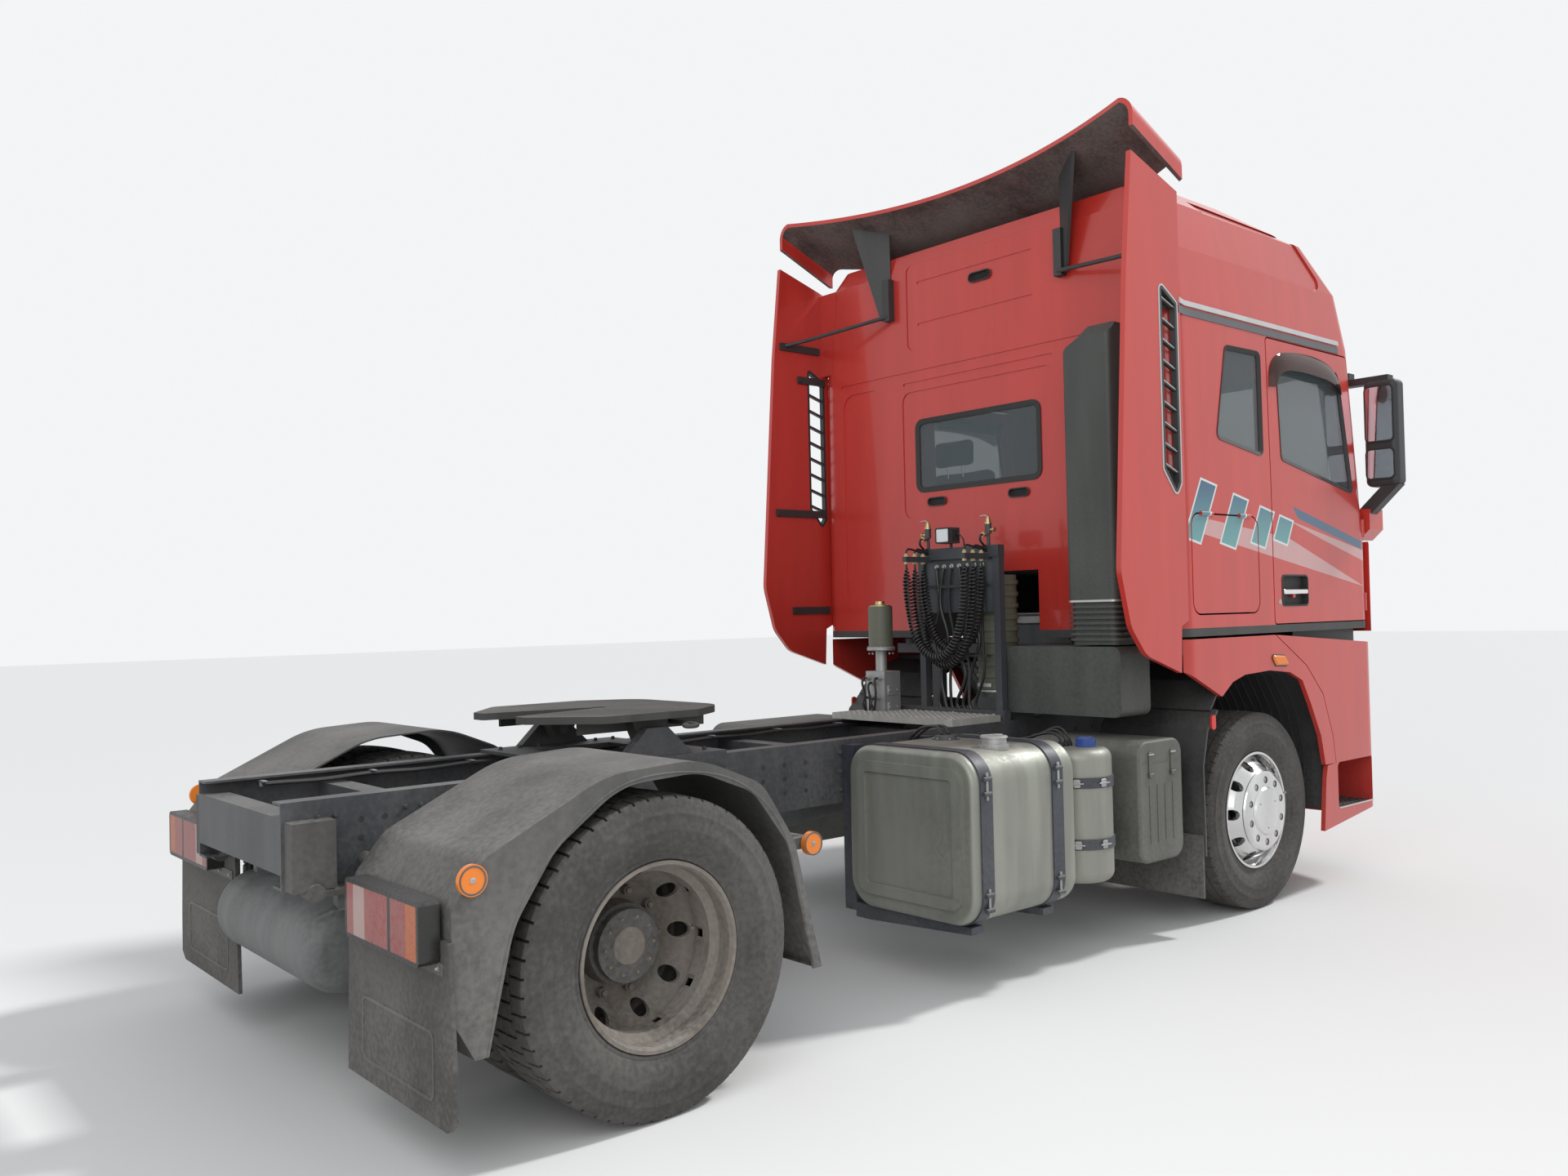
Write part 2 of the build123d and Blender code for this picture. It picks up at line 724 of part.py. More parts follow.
def rear_fender():
    shell = fender_profile(0, -body_half_width, fender_inner_y)
    shell -= fender_profile(fender_wall, -body_half_width + fender_wall, fender_inner_y + 1)
    opening = side_prism([(-3185, 330), (-3290, 790), (-3440, 985), (-3660, 1072), (-3960, 1060),
                          (-4190, 900), (-4330, 700), (-4420, 330)], [0, 150, 150, 300, 300, 250, 300, 0],
                          -body_half_width - 1, -body_half_width + fender_wall + 1)
    shell -= opening
    shell -= block(-4700, -3000, -body_half_width - 2, fender_inner_y + 2, 300, 352)
    return shell


front_rod_x = -3110
front_rod_z = 760
front_rod_end_y = -1150


def rear_fenders():
    """Fender with the round rods that hold it to the frame in front of and behind the wheels."""
    body = rear_fender()
    body += rod_y(24, -rail_outer_y - seat_gap, front_rod_end_y, front_rod_x, front_rod_z)
    for y in (-1120, -700):
        body += block(-3250, front_rod_x, y - 15, y + 15, front_rod_z - 20, front_rod_z + 20)
    body += rod_y(24, -rail_outer_y - seat_gap, -body_half_width + 1, -4430, 800)
    save("rear_fenders", *pair(body))


def marker_lamps():
    front = rod_y(42, front_rod_end_y - seat_gap, front_rod_end_y - 22, front_rod_x, front_rod_z)
    rear = rod_y(45, -body_half_width - seat_gap, -body_half_width - 14, -4462, 853)
    return front, rear


def rear_flaps():
    points = [(-1272, 350), (-1255, 690), (-560, 690), (-535, 170), (-1230, 170), (-1272, 200)]
    return front_prism(points, 0, -4536, -4522 - seat_gap)


def tail_lamps():
    lamp = block(-4600, -4536 - seat_gap, -1205, -690, 625, 805)
    return fillet(lamp.edges().filter_by(Axis.X), 22)


def rear_lamps():
    front, rear = marker_lamps()
    save("rear_lamps", *pair(tail_lamps()), *pair(front), *pair(rear))


# Fifth wheel

coupling_x = rear_axle_x + 560
coupling_top_z = 1200
coupling_pin_z = 1100
coupling_pin_radius = 25
king_pin_bore = 26


def fifth_wheel_base():
    plate = block(coupling_x - 330, coupling_x + 330, -rail_outer_y, rail_outer_y, rail_top_z + seat_gap,
                  rail_top_z + 14)
    body = plate - block(coupling_x - 190, coupling_x + 190, -230, 230, rail_top_z - 1, rail_top_z + 15)
    for side in (-1, 1):
        points = [(coupling_x - 170, rail_top_z + 13), (coupling_x - 48, coupling_pin_z + 38),
                  (coupling_x + 48, coupling_pin_z + 38), (coupling_x + 170, rail_top_z + 13)]
        body += side_prism(points, 0, side * 372, side * 418)
        body += rod_y(coupling_pin_radius, side * 292, side * 374, coupling_x, coupling_pin_z)
    save("fifth_wheel_base", body)


def fifth_wheel_plate():
    top = coupling_top_z
    points = [(coupling_x + 400, -300), (coupling_x + 400, 300), (coupling_x + 180, 448),
              (coupling_x - 260, 448), (coupling_x - 470, 210), (coupling_x - 470, 130),
              (coupling_x - 60, 30), (coupling_x - 60, -30), (coupling_x - 470, -130),
              (coupling_x - 470, -210), (coupling_x - 260, -448), (coupling_x + 180, -448)]
    body = plan_prism(points, [180, 180, 60, 60, 20, 20, 0, 0, 20, 20, 60, 60], top - 28, top)
    throat = block(coupling_x - 62, coupling_x, -18, 18, top - 60, top + 1)
    boss = plan_prism([(coupling_x - 59, -90), (coupling_x - 59, 90), (coupling_x + 110, 90),
                       (coupling_x + 110, -90)], 20, top - 60, top - 1)
    body += boss
    for side in (-1, 1):
        body += block(coupling_x - 300, coupling_x + 300, side * 302, side * 318, top - 75, top - 20)
        ear = side_prism([(coupling_x - 90, top - 27), (coupling_x - 40, coupling_pin_z - 36),
                          (coupling_x + 40, coupling_pin_z - 36), (coupling_x + 90, top - 27)], 0,
                         side * 300, side * 366)
        body += ear
    body += block(coupling_x + 150, coupling_x + 166, -318, 318, top - 75, top - 20)
    body -= rod_y(coupling_pin_radius + seat_gap, -380, 380, coupling_x, coupling_pin_z)
    body -= rod_z(king_pin_bore, top - 61, top + 1, coupling_x, 0)
    body -= throat
    save("fifth_wheel_plate", body)


# Body outlines in plan, shared by the cab and the panels under it

nose_share = 0.55
corner_radius = 120
nose_radius = 320
rear_corner_radius = 100


def plan_points(rear_x, corner_x, nose_x, half_width, inset):
    w = half_width - inset
    return [(rear_x + inset, -w), (rear_x + inset, w), (corner_x - inset * 0.7, w),
            (nose_x - inset, nose_share * w), (nose_x - inset, -nose_share * w),
            (corner_x - inset * 0.7, -w)]


plan_radii = [rear_corner_radius, rear_corner_radius, corner_radius, nose_radius, nose_radius,
              corner_radius]

# Columns: z, rear x, x of the front corner, x of the nose, half width
cab_sections = [
    (cab_floor_z, cab_rear_x, 1165, 1405, cab_half_width),
    (1900, cab_rear_x, 1165, 1410, cab_half_width),
    (2170, cab_rear_x, 1130, 1385, cab_half_width),
    (3000, cab_rear_x, 1050, 1255, 1225),
    (3310, cab_rear_x, 985, 1180, 1195),
    (3545, cab_rear_x, 700, 870, 1150),
    (3640, cab_rear_x + 20, 0, 150, 1060),
]


def cab_volume(inset):
    """The cab's closed form, with every wall moved in by the inset."""
    rows = [list(row) for row in cab_sections]
    rows[0][0] += inset
    rows[-1][0] -= inset
    faces = []
    for z, rear_x, corner_x, nose_x, half_width in rows:
        points = plan_points(rear_x, corner_x, nose_x, half_width, inset)
        faces.append(Plane((0, 0, z)) * face_of(points, plan_radii))
    return loft(faces, ruled=True)


# Lower body, fixed to the frame under the cab

lower_half_width = 1240
lower_wall = 24
lower_top_z = cab_floor_z - 12
bumper_top_z = 1285
bumper_low_z = 380
bumper_split_x = 1166
lower_inner_y = lower_half_width - lower_wall


def lower_volume(inset, z0, z1):
    points = plan_points(cab_rear_x, 1180, front_overhang, lower_half_width, inset)
    return plan_prism(points, plan_radii, z0, z1)


def lower_shell():
    return lower_volume(0, 330, lower_top_z) - lower_volume(lower_wall, 329, lower_top_z + 1)


arch_opening = [(-466, 1122), (-362, 1188), (-243, 1218), (0, 1228), (214, 1209), (344, 1160), (434, 1024),
                (534, 850), (575, 690)]
arch_front = [(694, 690), (665, 844), (567, 1073), (393, 1235), (72, lower_top_z)]
step_well = (713, 1150, 435, 690)


def arch_panels(shell):
    points = [(-772, lower_top_z), (-786, 1262), (-480, 1127)] + arch_opening + arch_front
    panel = shell & side_prism(points, 0, -lower_half_width - 1, -lower_inner_y + 1)
    save("arch_panels", *pair(panel))


def arch_liners():
    outer = [(-545, 1060), (-430, 1192), (-220, 1262), (220, 1262), (400, 1190), (560, 985), (636, 760),
             (636, 440)]
    inner = [(624, 440), (624, 757), (550, 980), (392, 1181), (216, 1250), (-217, 1250), (-424, 1182),
             (-536, 1054)]
    body = side_prism(outer + inner, 0, -lower_inner_y + seat_gap, -610)
    for x in (-170, 60, 290):
        body += side_prism([(x - 20, 1235), (x + 20, 1235), (x + 20, 1290), (x - 20, 1290)], 0,
                           -lower_inner_y + 10, -620) \
            - side_prism(inner + [(-536, 0), (624, 0)], 0, -lower_inner_y, -600)
    for x in (-120, 150):
        body += block(x - 25, x + 25, -700, -rail_outer_y + 50, 1262, 1292)
        body += block(x - 25, x + 25, -rail_outer_y, -rail_outer_y + 50, rail_top_z + seat_gap, 1292)
    return body


def front_guards():
    outer = [(-655, 370), (-660, 800), (-614, 970), (-515, 1062)]
    inner = [(-510, 1050), (-604, 962), (-648, 797), (-643, 370)]
    body = side_prism(outer + inner, 0, -lower_half_width, -640)
    body += block(-690, -640, -700, -670, 830, 880)
    return body + block(-690, -660, -700, -rail_outer_y - seat_gap, 830, 880)


def wheel_guards():
    save("wheel_guards", *pair(arch_liners()), *pair(front_guards()))
    front_flap = block(-669, -657, -lower_half_width + 8, -660, 170, 470)
    save("mud_flaps", *pair(rear_flaps()), *pair(front_flap))


def step_boxes(shell):
    points = [(699, 690), (670, 846), (572, 1076), (398, 1238), (82, lower_top_z),
              (bumper_split_x - 1, 1338),
              (bumper_split_x - 1, 405), (545, 335), (580, 620), (600, 684)]
    panel = shell & side_prism(points, 0, -lower_half_width - 1, -lower_inner_y + 1)
    x0, x1, z0, z1 = step_well
    panel -= side_prism([(x0, z0), (x0, z1), (x1, z1), (x1, z0)], 30, -lower_half_width - 1,
                        -lower_inner_y + 2)
    tread_y = -955
    box = block(x0 - 14, x1 + 12, -lower_inner_y, tread_y + 14, z0 - 16, z1 + 14)
    box -= block(x0, x1, -lower_inner_y - 1, tread_y, z0, z1)
    arm = block(900, 960, tread_y, -rail_outer_y - seat_gap, z1 - 10, z1 + 60)
    arm += block(900, 960, -rail_outer_y - 40, -rail_outer_y - seat_gap, z1, rail_top_z - 30)
    save("step_boxes", *pair(panel + box + arm))


lamp_z0 = 800
lamp_z1 = 1060
lamp_inner_y = 760
lamp_x = 1192


def lamp_region(grow):
    return block(lamp_x - grow, front_overhang + 10, -lower_half_width - 5, -lamp_inner_y + grow,
                 lamp_z0 - grow, lamp_z1 + grow)


def bumper(shell):
    points = [(bumper_split_x, bumper_low_z + 20), (bumper_split_x, bumper_top_z),
              (front_overhang + 5, bumper_top_z), (front_overhang + 5, bumper_low_z),
              (bumper_split_x + 60, bumper_low_z)]
    body = shell & side_prism(points, 0, -lower_half_width - 1, lower_half_width + 1)
    body -= lamp_region(seat_gap) + left_of(lamp_region(seat_gap))
    body -= front_prism([(-560, 570), (-560, 740), (560, 740), (560, 570)], 30, 1350, front_overhang + 5)
    for z in (610, 655, 700):
        body += block(front_overhang - 20, front_overhang - 6, -570, 570, z - 8, z + 8)
    for y in (-385, 385):
        body += block(rail_front_x + seat_gap, front_overhang - lower_wall + 1, y - 40, y + 40, 770, 990)
    body += block(front_overhang - 60, front_overhang - lower_wall + 2, -520, 520, 900, 990)
    save("bumper", body)


def headlamps():
    region = lower_volume(0, 400, 1200) - lower_volume(70, 399, 1201)
    save("headlamps", *pair(region & lamp_region(0)))


def cab_support():
    beam_z = 1330
    body = block(-720, -660, -700, 700, beam_z, beam_z + 54)
    for side in (-1, 1):
        body += block(-720, -660, side * (rail_outer_y - 58), side * rail_outer_y, rail_top_z + seat_gap,
                      beam_z + 2)
        body += rod_z(38, beam_z + 50, cab_floor_z - running_gap, -690, side * 610)
    return body


arm_y0 = 443
arm_y1 = 481


def cab_mounts():
    solids = []
    for side in (-1, 1):
        body = block(1120, 1245, side * (rail_outer_y + seat_gap), side * (arm_y0 - 5), 880, rail_top_z)
        body += rod_y(tilt_pin_radius, side * (arm_y0 - 6), side * (arm_y1 + 5), tilt_x, tilt_z)
        body += rod_y(tilt_pin_radius + 12, side * (arm_y1 + 5), side * (arm_y1 + 15), tilt_x, tilt_z)
        solids.append(body)
    save("cab_mounts", cab_support(), *solids)


def tilt_arm():
    points = [(1165, 905), (1235, 905), (1250, 985), (1000, 1230), (985, cab_floor_z + 1),
              (800, cab_floor_z + 1), (850, 1240), (1120, 990)]
    arm = side_prism(points, [30, 30, 30, 60, 0, 0, 60, 60], -arm_y1, -arm_y0)
    return arm - rod_y(tilt_pin_radius + seat_gap, -arm_y1 - 1, -arm_y0 + 1, tilt_x, tilt_z)


# Cab shell and its openings

door_front_x = 1130
door_outline = [(85, 1466), (85, 2955), (985, 2955), (1076, 2200), (door_front_x, 2090),
                (door_front_x, 1466)]
door_round = [20, 20, 20, 0, 0, 20]
door_glass_outline = [(185, 2852), (205, 2328), (1001, 2185), (890, 2794), (860, 2852)]
side_glass_outline = [(-322, 2862), (-433, 2396), (5, 2333), (12, 2867)]
hatch_x0 = -690
hatch_x1 = -70
hatch_z0 = 1530
hatch_z1 = 2010
hatch_corner = 60
rear_glass = (-435, 435, 2258, 2660)
screen_outline = [(-1000, 2215), (-1050, 2260), (-1010, 2945), (1010, 2945), (1050, 2260), (1000, 2215)]
side_split_y = 1085


def outline_prism(points, radii, grow, y0, y1):
    face = face_of(points, radii)
    if grow:
        face = offset(face, amount=grow, kind=Kind.INTERSECTION)
    plane = Plane(origin=(0, max(y0, y1), 0), x_dir=(1, 0, 0), z_dir=(0, -1, 0))
    return extrude(plane * face, amount=abs(y1 - y0))


def hatch_prism(grow, y0, y1):
    points = [(hatch_x0 - grow, hatch_z0 - grow), (hatch_x0 - grow, hatch_z1 + grow),
              (hatch_x1 + grow, hatch_z1 + grow), (hatch_x1 + grow, hatch_z0 - grow)]
    return side_prism(points, hatch_corner + grow, y0, y1)


outside_y = -1300
inside_y = -1150


door_hinge_heights = (1570, 1990)
door_line_y = -1225
hatch_hinge_places = (-560, -200)
handle_recess = (168, 441, 1560, 1715)


def side_panel(shell):
    side = shell & block(rear_wall_split_x, 1300, -side_split_y, outside_y, cab_floor_z + cab_wall,
                         roof_split_z)
    side -= outline_prism(door_outline, door_round, running_gap, outside_y, -1000)
    side -= outline_prism(side_glass_outline, 30, 0, outside_y, inside_y)
    return side - hatch_prism(running_gap, outside_y, inside_y)


def door_panel(shell):
    door = shell & outline_prism(door_outline, door_round, 0, outside_y, -1000)
    door -= outline_prism(door_glass_outline, 25, 0, outside_y, -1000)
    x0, x1, z0, z1 = handle_recess
    skin_y = -cab_half_width
    door -= side_prism([(x0, z0), (x0, z1), (x1, z1), (x1, z0)], 22, outside_y, skin_y + 32)
    door += block(x0 - 8, x1 + 9, skin_y + 2, skin_y + 12, 1618, 1644)
    return door + block(300, 325, skin_y + 10, skin_y + 30, 1600, 1644)


def cab_sides(shell, glass_skin):
    """Right side, door and hatch, hung on their hinges, and the same on the left."""
    side, door, hatch = side_panel(shell), door_panel(shell), shell & hatch_prism(0, outside_y, inside_y)
    door_line_x = door_front_x + running_gap / 2
    side, door = hang(side, door, [(door_line_x, door_line_y, z) for z in door_hinge_heights], "z")
    hatch_line_z = hatch_z1 + running_gap / 2
    side, hatch = hang(side, hatch, [(x, -cab_half_width, hatch_line_z) for x in hatch_hinge_places], "x")
    glass = glass_skin & outline_prism(door_glass_outline, 25, -seat_gap, outside_y, -1000)
    save("cab_sides", *pair(side))
    for name, turn in (("right", lambda shape: shape), ("left", left_of)):
        save(f"door_{name}", turn(door))
        save(f"door_glass_{name}", turn(glass))
        save(f"hatch_{name}", turn(hatch))


press_depth = 6

# Pressings in the rear wall, columns: y and z of the middle, width, height, corner radius, depth
wall_pressings = [
    (0, 2470, 1080, 730, 60, press_depth),
    (-870, 2230, 330, 1320, 90, press_depth),
    (870, 2230, 330, 1320, 90, press_depth),
    (0, 2940, 2100, 26, 12, press_depth),
    (0, 2882, 1060, 18, 8, press_depth),
    (0, 3320, 980, 500, 50, press_depth),
    (0, 3455, 820, 16, 7, 11),
    (0, 3215, 820, 16, 7, 11),
    (-290, 2190, 130, 40, 19, 24),
    (290, 2190, 130, 40, 19, 24),
    (-60, 3395, 150, 46, 22, 24),
]


def pressings(z0, z1):
    """The pressings whose middle lies between two heights."""
    tools = []
    for y, z, width, height, radius, depth in wall_pressings:
        if z0 < z < z1:
            y0, y1, low, high = y - width / 2, y + width / 2, z - height / 2, z + height / 2
            points = [(y0, low), (y0, high), (y1, high), (y1, low)]
            tools.append(front_prism(points, radius, cab_rear_x - 5, cab_rear_x + depth))
    return tools


def cab_rear_wall(shell):
    wall = shell & block(cab_rear_x - 1, rear_wall_split_x, -1300, 1300, cab_floor_z + cab_wall,
                         roof_split_z)
    y0, y1, z0, z1 = rear_glass
    wall -= front_prism([(y0, z0), (y0, z1), (y1, z1), (y1, z0)], 45, cab_rear_x - 5, cab_rear_x + 90)
    inner = tunnel_half_width - panel_wall
    wall -= block(cab_rear_x - 5, rear_wall_split_x + 1, -inner, inner, cab_floor_z,
                  tunnel_top_z - panel_wall)
    for tool in pressings(cab_floor_z, roof_split_z):
        wall -= tool
    save("cab_rear_wall", wall)


def cab_floor(shell):
    floor = shell & block(-900, 1500, -1300, 1300, cab_floor_z - 1, cab_floor_z + cab_wall)
    inner = tunnel_half_width - panel_wall
    tunnel_rear_x = cab_rear_x + cab_wall
    tunnel = block(tunnel_rear_x, tunnel_front_x + panel_wall, -tunnel_half_width, tunnel_half_width,
                   cab_floor_z + 1, tunnel_top_z)
    opening = block(cab_rear_x - 5, tunnel_front_x, -inner, inner, cab_floor_z - 5,
                    tunnel_top_z - panel_wall)
    floor = floor + tunnel - opening
    for solid in pair(tilt_arm()) + seat_bases() + [bunk_shelf()]:
        floor += solid
    save("cab_floor", floor)


lid_low_z = 1340
lid_top_z = 2110
lid_half_width = 680
lid_line = (1404, lid_top_z + 10)
lid_hinge_places = (-400, 400)


def front_lid():
    points = [(1416, lid_low_z), (1436, lid_low_z + 6), (1436, 1900), (1416, lid_top_z), (1398, lid_top_z),
              (1416, 1890)]
    lid = side_prism(points, 0, -lid_half_width, lid_half_width)
    lid = fillet(lid.edges().filter_by(Axis.X), 12)
    for z in slots(1610, 64, 7):
        lid -= block(1380, 1450, -560, 560, z - 18, z + 18)
    for y in (-280, 0, 280):
        lid += block(1417, 1430, y - 9, y + 9, 1380, 1840)
    return lid


def cab_front(shell):
    """Front panel with the windscreen opening, and the lid that hangs on it."""
    front = shell & block(900, 1500, -side_split_y, side_split_y, cab_floor_z + cab_wall, roof_split_z)
    front -= front_prism(screen_outline, 60, 900, 1500)
    lid = front_lid()
    x, z = lid_line
    half = 1.5 * knuckle_length
    for y in lid_hinge_places:
        front += block(x - 26, x, y - half, y + half, z - 5, z + 5)
        lid += block(x - 5, x + 8, y - knuckle_length / 2, y + knuckle_length / 2, lid_top_z - 8, z)
    front, lid = hang(front, lid, [(x, y, z) for y in lid_hinge_places], "y")
    save("cab_front", front)
    save("front_lid", lid)


roof_side_panel = [(-432, 3600), (-139, 3317), (711, 3297), (790, 3350), (560, 3570), (-330, 3600)]
roof_side_depth = 9


def cab_roof(shell):
    roof = shell & block(-900, 1500, -1300, 1300, roof_split_z, 3700)
    rim = cab_volume(-1) - cab_volume(roof_side_depth)
    panel = rim & side_prism(roof_side_panel, [0, 40, 30, 40, 60, 0], outside_y, -900)
    roof -= panel + left_of(panel)
    for tool in pressings(roof_split_z, 3700):
        roof -= tool
    save("cab_roof", roof)


def cab_windows(glass_skin):
    y0, y1, z0, z1 = rear_glass
    g = seat_gap
    rear = glass_skin & front_prism([(y0 + g, z0 + g), (y0 + g, z1 - g), (y1 - g, z1 - g),
                                     (y1 - g, z0 + g)], 45, cab_rear_x - 5, cab_rear_x + 90)
    screen_face = offset(face_of(screen_outline, 60), amount=-seat_gap, kind=Kind.INTERSECTION)
    plane = Plane(origin=(900, 0, 0), x_dir=(0, 1, 0), z_dir=(1, 0, 0))
    screen = glass_skin & extrude(plane * screen_face, amount=600)
    side = glass_skin & outline_prism(side_glass_outline, 30, -seat_gap, outside_y, inside_y)
    save("cab_windows", rear, screen, *pair(side))


# Corner vanes and mirrors

def corner_vanes():
    region = block(1200, 1450, -1300, -800, 1400, 1915)
    skin = (cab_volume(-34) - cab_volume(-14)) & region
    for z in slots(1655, 66, 7):
        skin -= block(1190, 1460, -1190, -900, z - 17, z + 17)
    studs = cab_volume(-16) - cab_volume(-seat_gap)
    for z in (1418, 1900):
        skin += studs & block(1230, 1330, -1160, -980, z - 12, z + 12)
    return skin


def mirrors():
    housing = block(1150, 1275, -1430, -1240, 2225, 2835)
    housing = fillet(housing.edges(), 34)
    lower = front_prism([(-1425, 2232), (-1330, 2232), (-1200, 2105), (-1200, 2060), (-1250, 2060)], 0,
                        1170, 1250)
    upper = block(1170, 1240, -1380, -1100, 2820, 2860) + front_prism([(-1160, 2860), (-1160, 2900),
                                                                       (-1060, 2900), (-1060, 2860)], 0,
                                                                       1170, 1240)
    foot = front_prism([(-1262, 2100), (-1262, 1985), (-1200, 1925), (-1100, 1925), (-1100, 2110)], 0,
                       1150, 1320)
    body = housing + lower + upper + foot - cab_volume(-seat_gap)
    solids = body.solids().sort_by(SortBy.VOLUME)
    save("mirrors", *pair(solids[-1]))


# Fairings behind the cab and the roof deflector

fairing_y = 1243
fairing_wall = 26
fairing_outline = [(-752, 3545), (-752, 1500), (-812, 1474), (-824, 1254), (-1110, 1346), (-1225, 1475),
                   (-1296, 1728), (-1192, 3107), (-1128, 3662)]
fairing_round = [0, 0, 0, 0, 140, 140, 200, 0, 0]
louvre_outline = [(-928, 3085), (-786, 3004), (-786, 2150), (-826, 2092), (-928, 2210)]


def louvre_face(grow):
    return outline_prism(louvre_outline, 20, grow, -fairing_y - 3, -fairing_y + fairing_wall)


def side_fairings():
    body = side_prism(fairing_outline, fairing_round, -fairing_y, -fairing_y + fairing_wall)
    body += block(-800, -752, -fairing_y + 2, -1080, roof_split_z + 20, 3545)
    body -= cab_volume(-seat_gap)
    body -= louvre_face(seat_gap)
    solids = body.solids().sort_by(SortBy.VOLUME)
    save("side_fairings", *pair(solids[-1]))


def fairing_louvres():
    frame = louvre_face(0) - louvre_face(-16)
    for z in slots(2600, 98, 9):
        blade = [(-935, z + 26), (-780, z - 22), (-780, z - 8), (-935, z + 40)]
        frame += side_prism(blade, 0, -fairing_y + 4, -fairing_y + fairing_wall - 2) & louvre_face(0)
    return frame - cab_volume(-seat_gap)


def louvres():
    save("louvres", *pair(fairing_louvres()), *pair(corner_vanes()))


hood_front_x = -430
hood_front_z = 3650
hood_rear_x = -1105
hood_rear_z = 3930
hood_wall = 22
hood_lip = 145
hood_front_bow = 3000
hood_rear_bow = 4100
hood_middle_x = -935
hood_slope = (hood_rear_z - hood_front_z) / (hood_front_x - hood_rear_x)


def hood_top_z(x):
    return hood_front_z + (hood_front_x - x) * hood_slope


def hood_body(x0, x1, inset, depth, radius):
    """Sloping slab with its two long top edges rounded."""
    points = [(x0, hood_top_z(x0) - inset), (x1, hood_top_z(x1) - inset), (x1, hood_top_z(x1) - depth),
              (x0, hood_top_z(x0) - depth)]
    slab = side_prism(points, 0, -fairing_y + inset, fairing_y - inset)
    middle_z = hood_top_z((x0 + x1) / 2) - (inset + depth) / 2
    long_edges = slab.edges().filter_by(lambda e: abs(e.tangent_at(0).Y) < 0.1
                                        and abs(e.tangent_at(0).X) > 0.5)
    return fillet([e for e in long_edges if (e @ 0.5).Z > middle_z], radius)


def roof_deflector():
    """Hood over the gap behind the cab: bowed front and rear edges and a lip down each side."""
    hood = hood_body(hood_front_x, hood_rear_x, 0, hood_lip, 80)
    hood -= hood_body(hood_front_x + 40, hood_rear_x - 40, hood_wall, hood_lip + 60, 62)
    hood &= rod_z(hood_front_bow, hood_front_z - 200, hood_rear_z + 10, hood_front_x - hood_front_bow, 0)
    hood -= rod_z(hood_rear_bow, hood_front_z - 200, hood_rear_z + 10, hood_middle_x - hood_rear_bow, 0)
    hood -= cab_volume(-seat_gap)
    save("roof_deflector", hood.solids().sort_by(SortBy.VOLUME)[-1])


bracket_y = 610
bracket_foot_z = 3280
bracket_turn = 54
bracket_wall = 16


def under_hood(z0):
    points = [(-700, hood_top_z(-700) - hood_wall - seat_gap),
              (-1300, hood_top_z(-1300) - hood_wall - seat_gap), (-1300, z0), (-700, z0)]
    return side_prism(points, 0, -fairing_y, fairing_y)


def deflector_bracket():
    """Plate that stands on the wall at its foot and spreads out and back under the hood."""
    points = [(0, bracket_foot_z), (0, hood_rear_z), (250, hood_rear_z), (64, bracket_foot_z)]
    plate = face_of(points, 0)
    along, across = cos(radians(bracket_turn)), sin(radians(bracket_turn))
    plane = Plane(origin=(cab_rear_x - seat_gap, -bracket_y, 0), x_dir=(-along, -across, 0),
                  z_dir=(-across, along, 0))
    body = extrude(plane * plate, amount=bracket_wall / 2, both=True)
    foot = block(cab_rear_x - 46, cab_rear_x - seat_gap, -bracket_y - 24, -bracket_y + 24,
                 bracket_foot_z - 12, bracket_foot_z + 230)
    rear_edge = rod_z(hood_rear_bow + 30, 3000, 4200, hood_middle_x - hood_rear_bow, 0)
    return ((body + foot) & under_hood(3100)) - cab_volume(-seat_gap) - rear_edge


# Columns: height, front end and rear end
fairing_straps = [(1590, -790, -1090), (2180, -800, -1205), (3000, -790, -1010), (3190, -830, -1150)]
strap_depth = 12


def deflector_struts():
    """Brackets, flat straps inside each fairing and the rods from the brackets' feet to the straps."""
    inner_y = -fairing_y + fairing_wall + seat_gap
    wall = cab_volume(-seat_gap)
    bracket = deflector_bracket()
    strap_y = inner_y + strap_depth
    foot = (cab_rear_x - 40, -bracket_y, bracket_foot_z + 12)
    bend = (-1010, -1130, 3225)
    straps = []
    bracket += bar(foot, bend, 11) + bar(bend, (-1110, strap_y - 4, 3195), 11) + Pos(*bend) * Sphere(11)
    for z, x0, x1 in fairing_straps:
        strap = block(x1, x0, inner_y, strap_y, z - 22, z + 22) - wall
        if z == fairing_straps[-1][0]:
            bracket += strap
        else:
            strap += block(x1, x1 + 30, inner_y, strap_y + 8, z - 14, z + 14)
            straps.append(strap)
    save("deflector_struts", *[turn for solid in [bracket] + straps for turn in pair(solid)])


duct_x0 = -1065
duct_x1 = -835
duct_y0 = -1055
duct_y1 = -775
duct_low_z = 1600
duct_top_z = 2930


